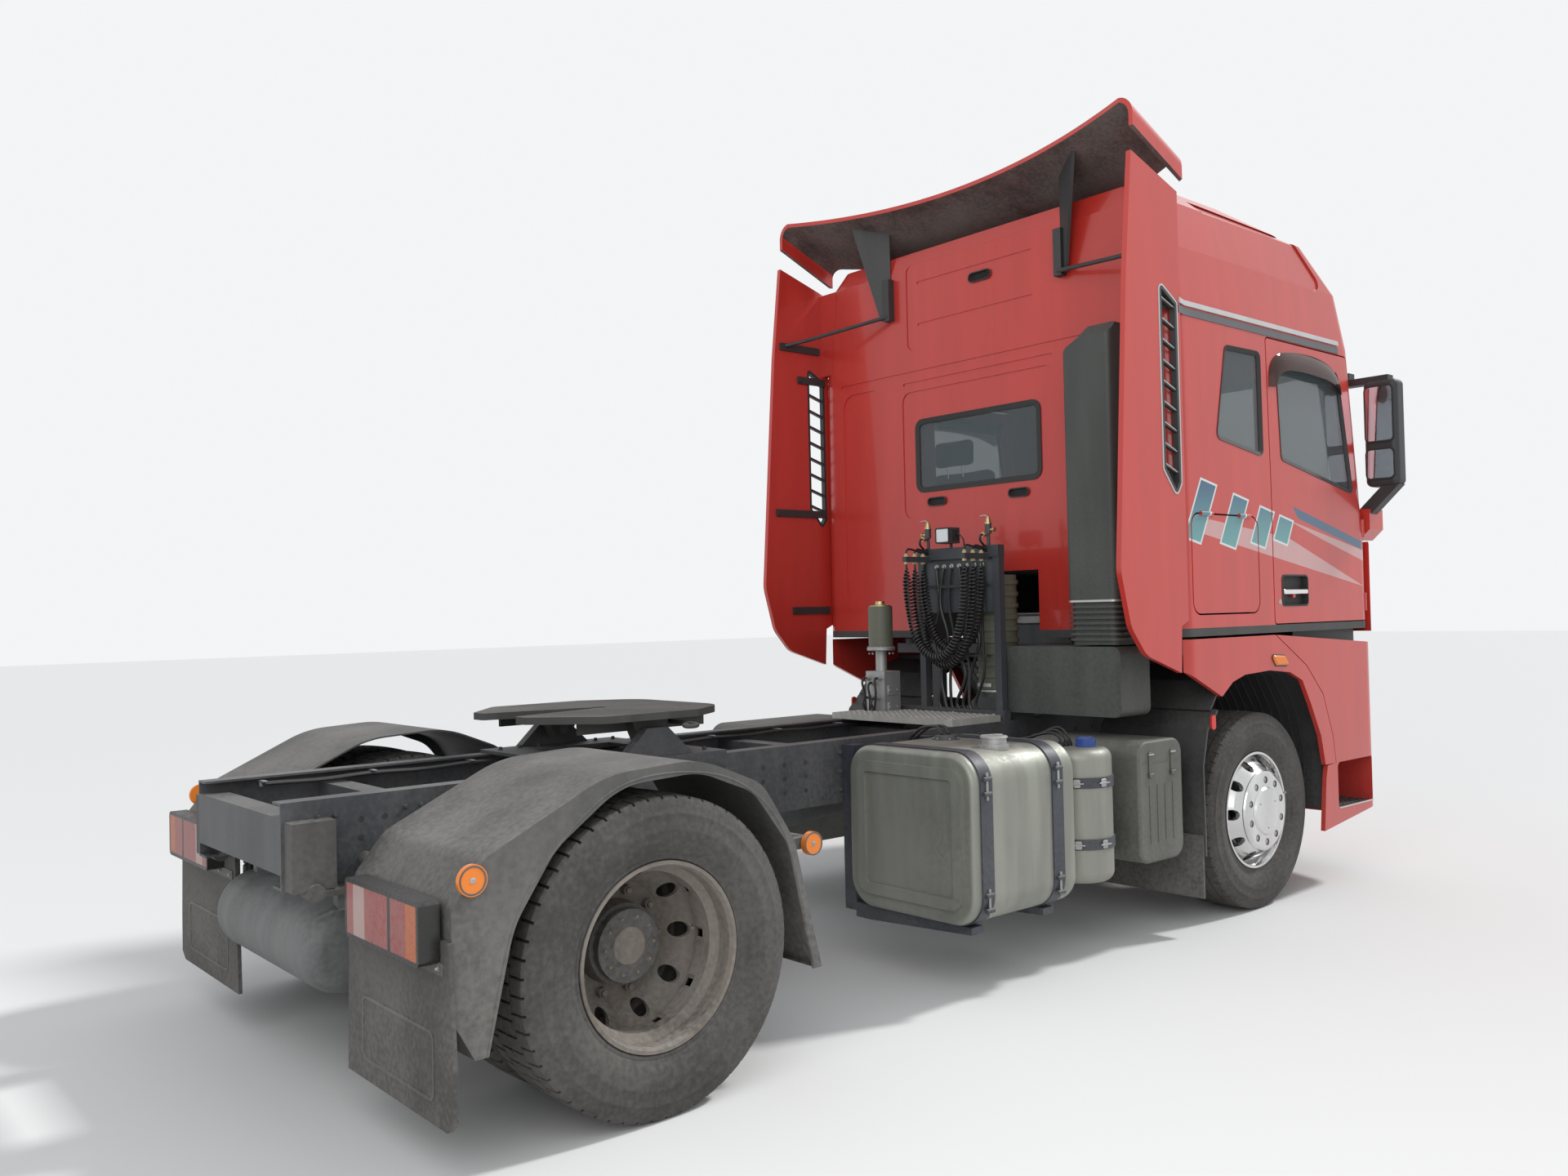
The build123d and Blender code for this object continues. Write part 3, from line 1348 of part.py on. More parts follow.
def intake_duct():
    points = [(duct_x0, duct_low_z), (duct_x0, duct_top_z - 60), (duct_x0 + 60, duct_top_z),
              (duct_x1, duct_top_z), (duct_x1, duct_low_z)]
    body = side_prism(points, 0, duct_y0, duct_y1)
    shoulder_z = duct_top_z - 110
    body &= front_prism([(duct_y0, duct_low_z), (duct_y0, duct_top_z), (duct_y1 - 120, duct_top_z),
                         (duct_y1 - 100, shoulder_z + 50), (duct_y1, shoulder_z), (duct_y1, duct_low_z)],
                        [0, 20, 20, 30, 70, 0], duct_x0 - 1, duct_x1 + 1)
    body &= plan_prism([(duct_x0, duct_y0), (duct_x1, duct_y0), (duct_x1, duct_y1), (duct_x0, duct_y1)], 34,
                       duct_low_z - 1, duct_top_z + 1)
    for z, y1 in ((1800, intake_y + 40), (2640, duct_y1 + 50)):
        body += block(duct_x1 - 40, cab_rear_x + press_depth - seat_gap, intake_y - 40, y1, z, z + 50)
    z = bellows_low_z
    body += plan_prism([(duct_x0 + 10, duct_y0 + 10), (duct_x1 - 10, duct_y0 + 10),
                        (duct_x1 - 10, duct_y1 - 10), (duct_x0 + 10, duct_y1 - 10)], 40, z, duct_low_z + 1)
    for ring_z in slots((bellows_low_z + duct_low_z) / 2, 26, 7):
        body += plan_prism([(duct_x0 - 4, duct_y0 - 4), (duct_x1 + 4, duct_y0 - 4),
                            (duct_x1 + 4, duct_y1 + 4), (duct_x0 - 4, duct_y1 + 4)], 48, ring_z - 6,
                            ring_z + 6)
    save("intake_duct", body)


# Inside the cab

def dashboard():
    points = [(930, 1880), (965, 2075), (1140, 2130), (1380, 2110), (1380, 1600), (1120, 1600)]
    body = side_prism(points, 0, -1190, 1190) & cab_volume(cab_wall + seat_gap)
    body &= block(900, 1500, -side_split_y + 10, side_split_y - 10, 1500, 2300)
    save("dashboard", body + steering_wheel())


seat_x = 120
seat_y = 720
seat_width = 500


seat_top_z = 1745


def seat_bases():
    z0 = cab_floor_z + cab_wall - 1
    return [block(seat_x - 190, seat_x + 190, side * seat_y - 180, side * seat_y + 180, z0, seat_top_z)
            for side in (-1, 1)]


def seats():
    cushions = []
    for side in (-1, 1):
        y0, y1 = side * seat_y - seat_width / 2, side * seat_y + seat_width / 2
        profile = [(seat_x - 250, seat_top_z + seat_gap), (seat_x + 270, seat_top_z + seat_gap),
                   (seat_x + 290, 1880), (seat_x - 120, 1890), (seat_x - 205, 2420), (seat_x - 225, 2640),
                   (seat_x - 330, 2640), (seat_x - 318, 2350)]
        cushions.append(side_prism(profile, [30, 30, 50, 60, 40, 40, 40, 60], y0, y1))
    return cushions


bunk_z = 2030
bunk_front_x = -205
bunk_half_width = 1190


def bunk_shelf():
    shelf = block(cab_rear_x, bunk_front_x, -bunk_half_width, bunk_half_width, bunk_z, bunk_z + 20)
    shelf &= cab_volume(cab_wall + seat_gap)
    for side in (-1, 1):
        shelf += block(bunk_front_x - 14, bunk_front_x, side * (tunnel_half_width - 2),
                       side * bunk_half_width, cab_floor_z + cab_wall - 1, bunk_z + 1)
    return shelf


def cab_cushions():
    mattress = block(cab_rear_x + cab_wall + 20, bunk_front_x - 10, -1160, 1160, bunk_z + 20 + seat_gap,
                     bunk_z + 150)
    save("cab_cushions", *seats(), fillet(mattress.edges(), 36))


def steering_wheel():
    place = Location((690, seat_y, 2090), (0, -62, 0))
    ring = Torus(215, 16)
    spokes = Box(420, 40, 14) + Box(40, 420, 14) + Cylinder(62, 40)
    column = Pos(0, 0, -150) * Cylinder(34, 300)
    return place * (ring + spokes + column)


def cab():
    outer = cab_volume(0)
    shell = outer - cab_volume(cab_wall)
    glass_skin = cab_volume(glass_depth) - cab_volume(glass_depth + glass_wall)
    cab_floor(shell)
    cab_sides(shell, glass_skin)
    cab_rear_wall(shell)
    cab_front(shell)
    cab_roof(shell)
    cab_windows(glass_skin)


def lower_body():
    shell = lower_shell()
    arch_panels(shell)
    step_boxes(shell)
    bumper(shell)


frame_rails()
frame_crossmembers()
engine()
radiator()
drive_line()
front_axle()
rear_axle()
leaf_springs()
front_wheels()
rear_wheels()
tanks()
side_boxes()
air_system()
catwalk()
hose_stand()
hose_coils()
air_cleaner()
rear_fenders()
rear_lamps()
fifth_wheel_base()
fifth_wheel_plate()
lower_body()
wheel_guards()
headlamps()
cab_mounts()
cab()
louvres()
mirrors()
side_fairings()
roof_deflector()
deflector_struts()
intake_duct()
dashboard()
cab_cushions()
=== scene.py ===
import bpy
import math
from mathutils import Matrix, Vector
from mathutils.bvhtree import BVHTree


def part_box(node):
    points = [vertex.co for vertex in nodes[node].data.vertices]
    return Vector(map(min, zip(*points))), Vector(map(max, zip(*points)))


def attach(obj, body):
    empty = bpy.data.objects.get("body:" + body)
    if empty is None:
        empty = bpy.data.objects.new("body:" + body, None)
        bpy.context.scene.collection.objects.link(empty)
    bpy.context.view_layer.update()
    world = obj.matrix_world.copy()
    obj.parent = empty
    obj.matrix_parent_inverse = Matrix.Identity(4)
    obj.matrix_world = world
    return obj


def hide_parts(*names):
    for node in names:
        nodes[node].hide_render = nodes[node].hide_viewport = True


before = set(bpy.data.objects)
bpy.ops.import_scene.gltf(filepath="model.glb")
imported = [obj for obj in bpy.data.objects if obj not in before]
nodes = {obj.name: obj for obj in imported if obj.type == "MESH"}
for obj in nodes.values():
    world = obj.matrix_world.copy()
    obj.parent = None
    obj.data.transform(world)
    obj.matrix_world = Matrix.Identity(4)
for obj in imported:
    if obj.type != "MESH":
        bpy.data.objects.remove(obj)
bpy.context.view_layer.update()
up, left, ahead = Vector((0, 0, 1)), Vector((0, 1, 0)), Vector((1, 0, 0))
sides = {"right": -1, "left": 1}


def middleOf(node):
    low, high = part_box(node)
    return (low + high) / 2


frontAxle = middleOf("front_tyre_left")
rearAxle = middleOf("rear_tyres_left")
tyreRadius = frontAxle.z
print("frame loaded, wheelbase", round(frontAxle.x - rearAxle.x, 3))


# A place given by its distance ahead of the front axle, as the cab is drawn
def at(x, y, z):
    return Vector((frontAxle.x + x, y, z))


# Small helpers for objects and shader nodes
def objectOf(name, data):
    obj = bpy.data.objects.new(name, data)
    bpy.context.scene.collection.objects.link(obj)
    return obj


def link(tree, source, target):
    tree.links.new(source, target)


def node(tree, kind, **values):
    made = tree.nodes.new(kind)
    for key, value in values.items():
        setattr(made, key, value)
    return made


def math2(tree, operation, a, b=0.0, clamp=False):
    made = node(tree, "ShaderNodeMath", operation=operation, use_clamp=clamp)
    for socket, value in zip(made.inputs, (a, b)):
        if isinstance(value, (int, float)):
            socket.default_value = value
        else:
            link(tree, value, socket)
    return made.outputs[0]


def times(tree, a, b, clamp=False):
    return math2(tree, "MULTIPLY", a, b, clamp)


def plus(tree, a, b, clamp=False):
    return math2(tree, "ADD", a, b, clamp)


# Camera and light
camera = {"place": at(-6.0706, -4.4622, 1.5742), "yaw": 49.121, "pitch": 1.175, "roll": -1.268, "lens": 28.65}


def addCamera(c):
    yaw, pitch, roll = (math.radians(c[k]) for k in ("yaw", "pitch", "roll"))
    forward = Vector((math.cos(pitch) * math.cos(yaw), math.cos(pitch) * math.sin(yaw), math.sin(pitch)))
    level = Vector((math.sin(yaw), -math.cos(yaw), 0))
    rise = level.cross(forward)
    right = math.cos(roll) * level + math.sin(roll) * rise
    top = -math.sin(roll) * level + math.cos(roll) * rise
    data = bpy.data.cameras.new("camera")
    data.lens, data.sensor_width, data.clip_end = c["lens"], 36, 200
    obj = objectOf("camera", data)
    turn = Matrix((right, top, -forward)).transposed().to_4x4()
    obj.matrix_world = Matrix.Translation(c["place"]) @ turn
    bpy.context.scene.camera = obj


studio = {"world": 0.62, "sky": (0.93, 0.96, 1.0), "backdrop": (0.90, 0.91, 0.92), "sun": 2.1,
          "sunTurn": (math.radians(46), 0, math.radians(72)), "sunAngle": math.radians(6),
          "fill": 260, "fillSize": 7, "fillPlace": at(-8, -5, 5), "fillAim": at(-1, 0, 1.4),
          "floor": (0.74, 0.74, 0.73), "floorSize": 60}


def addStudio(s):
    world = bpy.data.worlds.new("studio")
    bpy.context.scene.world = world
    world.use_nodes = True
    tree = world.node_tree
    light, seen = tree.nodes["Background"], node(tree, "ShaderNodeBackground")
    light.inputs["Color"].default_value = (*s["sky"], 1)
    light.inputs["Strength"].default_value = s["world"]
    seen.inputs["Color"].default_value = (*s["backdrop"], 1)
    rays, mix = node(tree, "ShaderNodeLightPath").outputs, node(tree, "ShaderNodeMixShader")
    direct = math2(tree, "MAXIMUM", rays["Is Camera Ray"], rays["Is Glossy Ray"])
    direct = math2(tree, "MAXIMUM", direct, rays["Is Transmission Ray"])
    for source, target in zip((direct, light.outputs[0], seen.outputs[0]), mix.inputs):
        link(tree, source, target)
    link(tree, mix.outputs[0], tree.nodes["World Output"].inputs["Surface"])
    sun = bpy.data.lights.new("sun", "SUN")
    sun.energy, sun.angle = s["sun"], s["sunAngle"]
    objectOf("sun", sun).rotation_euler = s["sunTurn"]
    fill = bpy.data.lights.new("fill", "AREA")
    fill.energy, fill.size = s["fill"], s["fillSize"]
    lamp = objectOf("fill", fill)
    lamp.location = s["fillPlace"]
    lamp.rotation_euler = (s["fillAim"] - s["fillPlace"]).to_track_quat("-Z", "Y").to_euler()
    bpy.context.scene.view_settings.view_transform = "Standard"


addCamera(camera)
addStudio(studio)
print("camera and light placed")


# Materials
def mixColour(tree, factor, a, b):
    made = node(tree, "ShaderNodeMix", data_type="RGBA")
    for socket, value in ((made.inputs[0], factor), (made.inputs[6], a), (made.inputs[7], b)):
        if isinstance(value, (int, float)):
            socket.default_value = value
        elif isinstance(value, tuple):
            socket.default_value = (*value, 1)
        else:
            link(tree, value, socket)
    return made.outputs[2]


def noiseOf(tree, coords, scale, detail=4.0, stretch=None):
    if stretch:
        mapping = node(tree, "ShaderNodeMapping")
        mapping.inputs["Scale"].default_value = stretch
        link(tree, coords, mapping.inputs["Vector"])
        coords = mapping.outputs[0]
    made = node(tree, "ShaderNodeTexNoise")
    made.inputs["Scale"].default_value = scale
    made.inputs["Detail"].default_value = detail
    link(tree, coords, made.inputs["Vector"])
    return made.outputs["Fac"]


def ramp(tree, value, low, high):
    made = node(tree, "ShaderNodeMapRange", interpolation_type="SMOOTHSTEP")
    link(tree, value, made.inputs["Value"])
    made.inputs["From Min"].default_value, made.inputs["From Max"].default_value = low, high
    return made.outputs[0]


dustColour = (0.29, 0.275, 0.25)


def look(colour, rough, dust, dustTop, grime, **more):
    return {"colour": colour, "rough": rough, "dust": dust, "dustTop": dustTop, "grime": grime, **more}


finishes = {
    "cabRed": look((0.52, 0.026, 0.017), 0.30, 0.16, 1.6, 0.12, coat=0.5),
    "framePaint": look((0.022, 0.026, 0.036), 0.48, 0.42, 1.6, 0.5),
    "castIron": look((0.035, 0.034, 0.034), 0.7, 0.55, 1.3, 0.6, bump=0.25),
    "enginePaint": look((0.10, 0.11, 0.115), 0.55, 0.4, 1.7, 0.5),
    "tankAlloy": look((0.30, 0.31, 0.27), 0.46, 0.42, 1.2, 0.35, metal=0.75),
    "deckAlloy": look((0.50, 0.49, 0.46), 0.5, 0.6, 3.0, 0.3, metal=0.6),
    "polished": look((0.72, 0.72, 0.72), 0.16, 0.12, 1.1, 0.2, metal=1.0),
    "dustyRim": look((0.16, 0.13, 0.105), 0.62, 0.6, 1.6, 0.5, metal=0.35),
    "darkPlastic": look((0.022, 0.023, 0.025), 0.5, 0.22, 1.4, 0.3),
    "fenderPlastic": look((0.050, 0.050, 0.050), 0.55, 0.5, 1.5, 0.4),
    "boxPlastic": look((0.075, 0.078, 0.066), 0.5, 0.45, 1.3, 0.3),
    "ductPlastic": look((0.040, 0.046, 0.042), 0.5, 0.2, 3.2, 0.3),
    "hoseRubber": look((0.010, 0.010, 0.011), 0.38, 0.08, 2.0, 0.1),
    "flapRubber": look((0.030, 0.029, 0.028), 0.7, 0.5, 1.0, 0.4),
    "tyreRubber": look((0.024, 0.023, 0.022), 0.78, 0.30, 9.0, 0.25, bump=0.15),
    "blackGlass": look((0.010, 0.012, 0.014), 0.06, 0.05, 4.0, 0.0),
    "mirrorGlass": look((0.62, 0.66, 0.72), 0.03, 0.04, 4.0, 0.0, metal=1.0),
    # dark red for the roof deflector's down-facing faces: painted shade, with noise patches of dust and grime
    "shadedUnderside": look((0.055, 0.022, 0.020), 0.75, 0.5, 9.0, 0.9),
    "chrome": look((0.80, 0.80, 0.80), 0.08, 0.04, 3.0, 0.0, metal=1.0),
    "brass": look((0.52, 0.42, 0.22), 0.35, 0.2, 3.0, 0.2, metal=1.0),
    "redLens": look((0.30, 0.012, 0.010), 0.2, 0.5, 1.6, 0.2),
    "amberLens": look((0.78, 0.20, 0.01), 0.18, 0.12, 1.6, 0.0),
    "reflector": look((0.62, 0.02, 0.015), 0.18, 0.1, 1.6, 0.0),
    "clearLens": look((0.75, 0.77, 0.78), 0.08, 0.2, 1.6, 0.0),
    "silverTrim": look((0.56, 0.56, 0.56), 0.35, 0.1, 4.0, 0.1, metal=0.7),
    "bandGrey": look((0.10, 0.10, 0.11), 0.4, 0.1, 4.0, 0.1),
    "sealRubber": look((0.012, 0.012, 0.013), 0.6, 0.15, 3.0, 0.1),
    "strapPaint": look((0.020, 0.026, 0.042), 0.42, 0.25, 1.3, 0.3),
    "seatCloth": look((0.060, 0.062, 0.075), 0.9, 0.05, 9.0, 0.1, weave=900),
    "lining": look((0.26, 0.25, 0.23), 0.9, 0.0, 9.0, 0.15, weave=500),
    "floorMat": look((0.05, 0.05, 0.05), 0.8, 0.1, 9.0, 0.2),
    "dash": look((0.045, 0.045, 0.05), 0.6, 0.05, 9.0, 0.1),
    "blueCap": look((0.012, 0.060, 0.30), 0.4, 0.3, 1.4, 0.1),
    "oliveCan": look((0.10, 0.11, 0.07), 0.45, 0.3, 2.6, 0.2),
    "castAlloy": look((0.42, 0.42, 0.42), 0.45, 0.25, 2.6, 0.35, metal=0.8),
}


def newMaterial(name):
    material = bpy.data.materials.new(name)
    material.use_nodes = True
    return material, material.node_tree, material.node_tree.nodes["Principled BSDF"]


def split(tree, vector):
    # the x, y and z of a vector
    made = node(tree, "ShaderNodeSeparateXYZ")
    link(tree, vector, made.inputs[0])
    return made.outputs


def coordsOf(tree):
    return node(tree, "ShaderNodeTexCoord").outputs["Object"]


def normalOf(tree):
    return split(tree, node(tree, "ShaderNodeNewGeometry").outputs["Normal"])


def addBump(tree, height, strength, distance):
    bump = node(tree, "ShaderNodeBump")
    bump.inputs["Strength"].default_value, bump.inputs["Distance"].default_value = strength, distance
    link(tree, height, bump.inputs["Height"])
    link(tree, bump.outputs[0], tree.nodes["Principled BSDF"].inputs["Normal"])


# Worn paint, plastic or metal: streaks and patches of the base colour, and dust low down and on what faces up
def makeFinish(name, f):
    material, tree, shader = newMaterial(name)
    coords = coordsOf(tree)
    broad = noiseOf(tree, coords, 2.3, 5)
    fine = noiseOf(tree, coords, 55, 6)
    streak = noiseOf(tree, coords, 9, 4, (1, 1, 0.12))
    base = f["colour"]
    deep = tuple(c * (1 - 0.55 * f["grime"]) for c in base)
    pale = tuple(min(1, c * (1 + 0.25 * f["grime"]) + 0.01 * f["grime"]) for c in base)
    colour = mixColour(tree, ramp(tree, streak, 0.35, 0.68), deep, pale)
    colour = mixColour(tree, times(tree, ramp(tree, broad, 0.42, 0.7), 0.5), colour, base)
    low = ramp(tree, split(tree, coords)["Z"], f["dustTop"], f["dustTop"] * 0.2)
    resting = ramp(tree, normalOf(tree)["Z"], 0.2, 0.95)
    patches = ramp(tree, plus(tree, times(tree, broad, 0.6), times(tree, fine, 0.4)), 0.34, 0.66)
    settled = plus(tree, times(tree, low, 0.75), times(tree, resting, 0.7))
    dust = times(tree, times(tree, settled, patches), f["dust"], True)
    dust = plus(tree, dust, f["dust"] * 0.18, True)
    colour = mixColour(tree, dust, colour, dustColour)
    link(tree, colour, shader.inputs["Base Color"])
    rough = plus(tree, times(tree, dust, 0.45), f["rough"] - 0.04)
    rough = plus(tree, rough, times(tree, fine, 0.1), True)
    link(tree, rough, shader.inputs["Roughness"])
    if f.get("metal"):
        bare = math2(tree, "SUBTRACT", f["metal"], times(tree, dust, 0.8), True)
        link(tree, bare, shader.inputs["Metallic"])
    if f.get("coat"):
        shader.inputs["Coat Weight"].default_value = f["coat"]
        shader.inputs["Coat Roughness"].default_value = 0.08
    height = plus(tree, times(tree, fine, 0.5), times(tree, broad, 0.8))
    if f.get("weave"):
        mapping = node(tree, "ShaderNodeMapping")
        mapping.inputs["Rotation"].default_value = (0.7, 0.6, 0.5)
        link(tree, coords, mapping.inputs["Vector"])
        wave = node(tree, "ShaderNodeTexWave", bands_direction="X")
        wave.inputs["Scale"].default_value = f["weave"] / 6
        link(tree, mapping.outputs[0], wave.inputs["Vector"])
        height = plus(tree, height, wave.outputs["Fac"])
        shader.inputs["Sheen Weight"].default_value = 0.4
    addBump(tree, height, f.get("bump", 0.08), 0.002)
    return material


finish = {name: makeFinish(name, values) for name, values in finishes.items()}


# Stripes on the cab's sides: slanted bars with pale outlines, a spear, and two pale sweeps under the windows
stripes = {"outline": 0.011, "soft": 0.0015, "white": (0.62, 0.66, 0.66), "blue": (0.020, 0.085, 0.17),
           "teal": (0.10, 0.30, 0.30), "tealZ": (2.2, 1.85), "veil": 0.42,
           "bars": [(-0.60, 0.30), (-0.30, 0.26), (-0.04, 0.20), (0.16, 0.14)],
           "barTop": 2.19, "barSlope": -0.20, "barLean": 0.55, "barWidth": 0.155, "barDrop": 0.03,
           "sweeps": [[(-0.66, 2.000), (0.25, 1.915), (1.12, 1.655), (-0.66, 1.925)],
                      [(0.20, 2.020), (1.12, 1.862), (1.12, 1.800), (0.62, 1.915)]],
           "spear": [(0.30, 2.085), (1.10, 1.915), (1.10, 1.865), (0.36, 2.020)]}


def insideOf(tree, x, z, corners):
    # signed distance inside a convex outline whose corners run clockwise
    distance = None
    for (x0, z0), (x1, z1) in zip(corners, corners[1:] + corners[:1]):
        length = math.hypot(x1 - x0, z1 - z0)
        a, b = (z1 - z0) / length, -(x1 - x0) / length
        value = plus(tree, times(tree, x, a), times(tree, z, b))
        value = math2(tree, "SUBTRACT", value, a * x0 + b * z0)
        distance = value if distance is None else math2(tree, "MINIMUM", distance, value)
    return distance


def barOutline(s, x, height):
    top = s["barTop"] + s["barSlope"] * (x - s["bars"][0][0])
    lean, end, low = s["barLean"] * height, x + s["barWidth"], top - s["barDrop"]
    return [(x, top), (end, low), (end - lean, low - height), (x - lean, top - height)]


def addStripes(material, s):
    tree = material.node_tree
    target = tree.nodes["Principled BSDF"].inputs["Base Color"]
    colour = target.links[0].from_socket
    place = split(tree, coordsOf(tree))
    x, z = math2(tree, "SUBTRACT", place["X"], frontAxle.x), place["Z"]
    outward = times(tree, normalOf(tree)["Y"], place["Y"])
    skin = math2(tree, "GREATER_THAN", math2(tree, "ABSOLUTE", place["Y"]), 1.19)
    skin = times(tree, skin, math2(tree, "GREATER_THAN", outward, 0.3))

    def painted(below, corners, tone, inset=0.0, share=1.0):
        part = ramp(tree, insideOf(tree, x, z, corners), inset, inset + s["soft"])
        return mixColour(tree, times(tree, times(tree, part, skin), share), below, tone)

    for corners in s["sweeps"]:
        colour = painted(colour, corners, s["white"], 0.0, s["veil"])
    fill = mixColour(tree, ramp(tree, z, *s["tealZ"]), s["blue"], s["teal"])
    for bar in s["bars"]:
        corners = barOutline(s, *bar)
        colour = painted(colour, corners, s["white"])
        colour = painted(colour, corners, fill, s["outline"])
    link(tree, painted(colour, s["spear"], s["blue"]), target)


finish["cabSide"] = makeFinish("cabSide", finishes["cabRed"])
addStripes(finish["cabSide"], stripes)


def makeGlass(name, colour, clear):
    material, _, shader = newMaterial(name)
    shader.inputs["Base Color"].default_value = (*colour, 1)
    shader.inputs["Roughness"].default_value = 0.03
    shader.inputs["Alpha"].default_value = 1 - clear
    return material


finish["windowGlass"] = makeGlass("windowGlass", (0.10, 0.13, 0.14), 0.55)
finish["rearGlass"] = makeGlass("rearGlass", (0.012, 0.014, 0.015), 0.08)
finish["headlampGlass"] = makeGlass("headlampGlass", (0.20, 0.22, 0.24), 0.70)
finish["smoked"] = makeGlass("smoked", (0.060, 0.022, 0.016), 0.35)

wears = {
    "cabSide": ["cab_sides", "door_right", "door_left", "hatch_right", "hatch_left"],
    "cabRed": ["cab_rear_wall", "cab_front", "cab_roof", "front_lid", "side_fairings", "roof_deflector",
               "arch_panels", "step_boxes", "bumper"],
    "framePaint": ["frame_rails", "frame_crossmembers", "cab_mounts", "hose_stand", "fifth_wheel_base"],
    "strapPaint": ["tank_cradles"],
    "enginePaint": ["engine", "drive_line", "air_system"],
    "castIron": ["front_axle", "rear_axle", "front_knuckle_right", "front_knuckle_left", "leaf_springs",
                 "fifth_wheel_plate", "radiator"],
    "tankAlloy": ["tanks"],
    "boxPlastic": ["side_boxes"],
    "deckAlloy": ["catwalk"],
    "ductPlastic": ["air_cleaner", "intake_duct"],
    "fenderPlastic": ["rear_fenders"],
    "flapRubber": ["mud_flaps"],
    "redLens": ["rear_lamps"],
    "darkPlastic": ["wheel_guards", "louvres", "mirrors", "deflector_struts"],
    "headlampGlass": ["headlamps"],
    "polished": ["front_rim_right", "front_rim_left"],
    "dustyRim": ["rear_rims_right", "rear_rims_left"],
    "windowGlass": ["cab_windows", "door_glass_right", "door_glass_left"],
    "floorMat": ["cab_floor"],
    "dash": ["dashboard"],
}

for name, members in wears.items():
    for member in members:
        nodes[member].data.materials.clear()
        nodes[member].data.materials.append(finish[name])
print("materials made:", len(finish))


# Making shapes
def basis(axis):
    w = Vector(axis).normalized()
    u = w.cross(up if abs(w.z) < 0.9 else ahead).normalized()
    return u, w.cross(u), w


def roundedRect(width, height, radius, steps=4):
    points = []
    for cx, cy, start in ((1, 1, 0), (-1, 1, 90), (-1, -1, 180), (1, -1, 270)):
        for i in range(steps + 1):
            a = math.radians(start + 90 * i / steps)
            points.append((cx * (width / 2 - radius) + radius * math.cos(a),
                           cy * (height / 2 - radius) + radius * math.sin(a)))
    return points


def ring(radius, count, start=0.0):
    turns = [start + math.tau * i / count for i in range(count)]
    return [(radius * math.cos(a), radius * math.sin(a)) for a in turns]


def insetOf(outline, amount):
    result = []
    for p, a, b in zip(outline, outline[-1:] + outline[:-1], outline[1:] + outline[:1]):
        p, a, b = Vector(p), Vector(a), Vector(b)
        n = Vector((-(p - a).y, (p - a).x)).normalized() + Vector((-(b - p).y, (b - p).x)).normalized()
        result.append(tuple(p + n / max(n.length_squared / 2, 0.3) * amount))
    return result


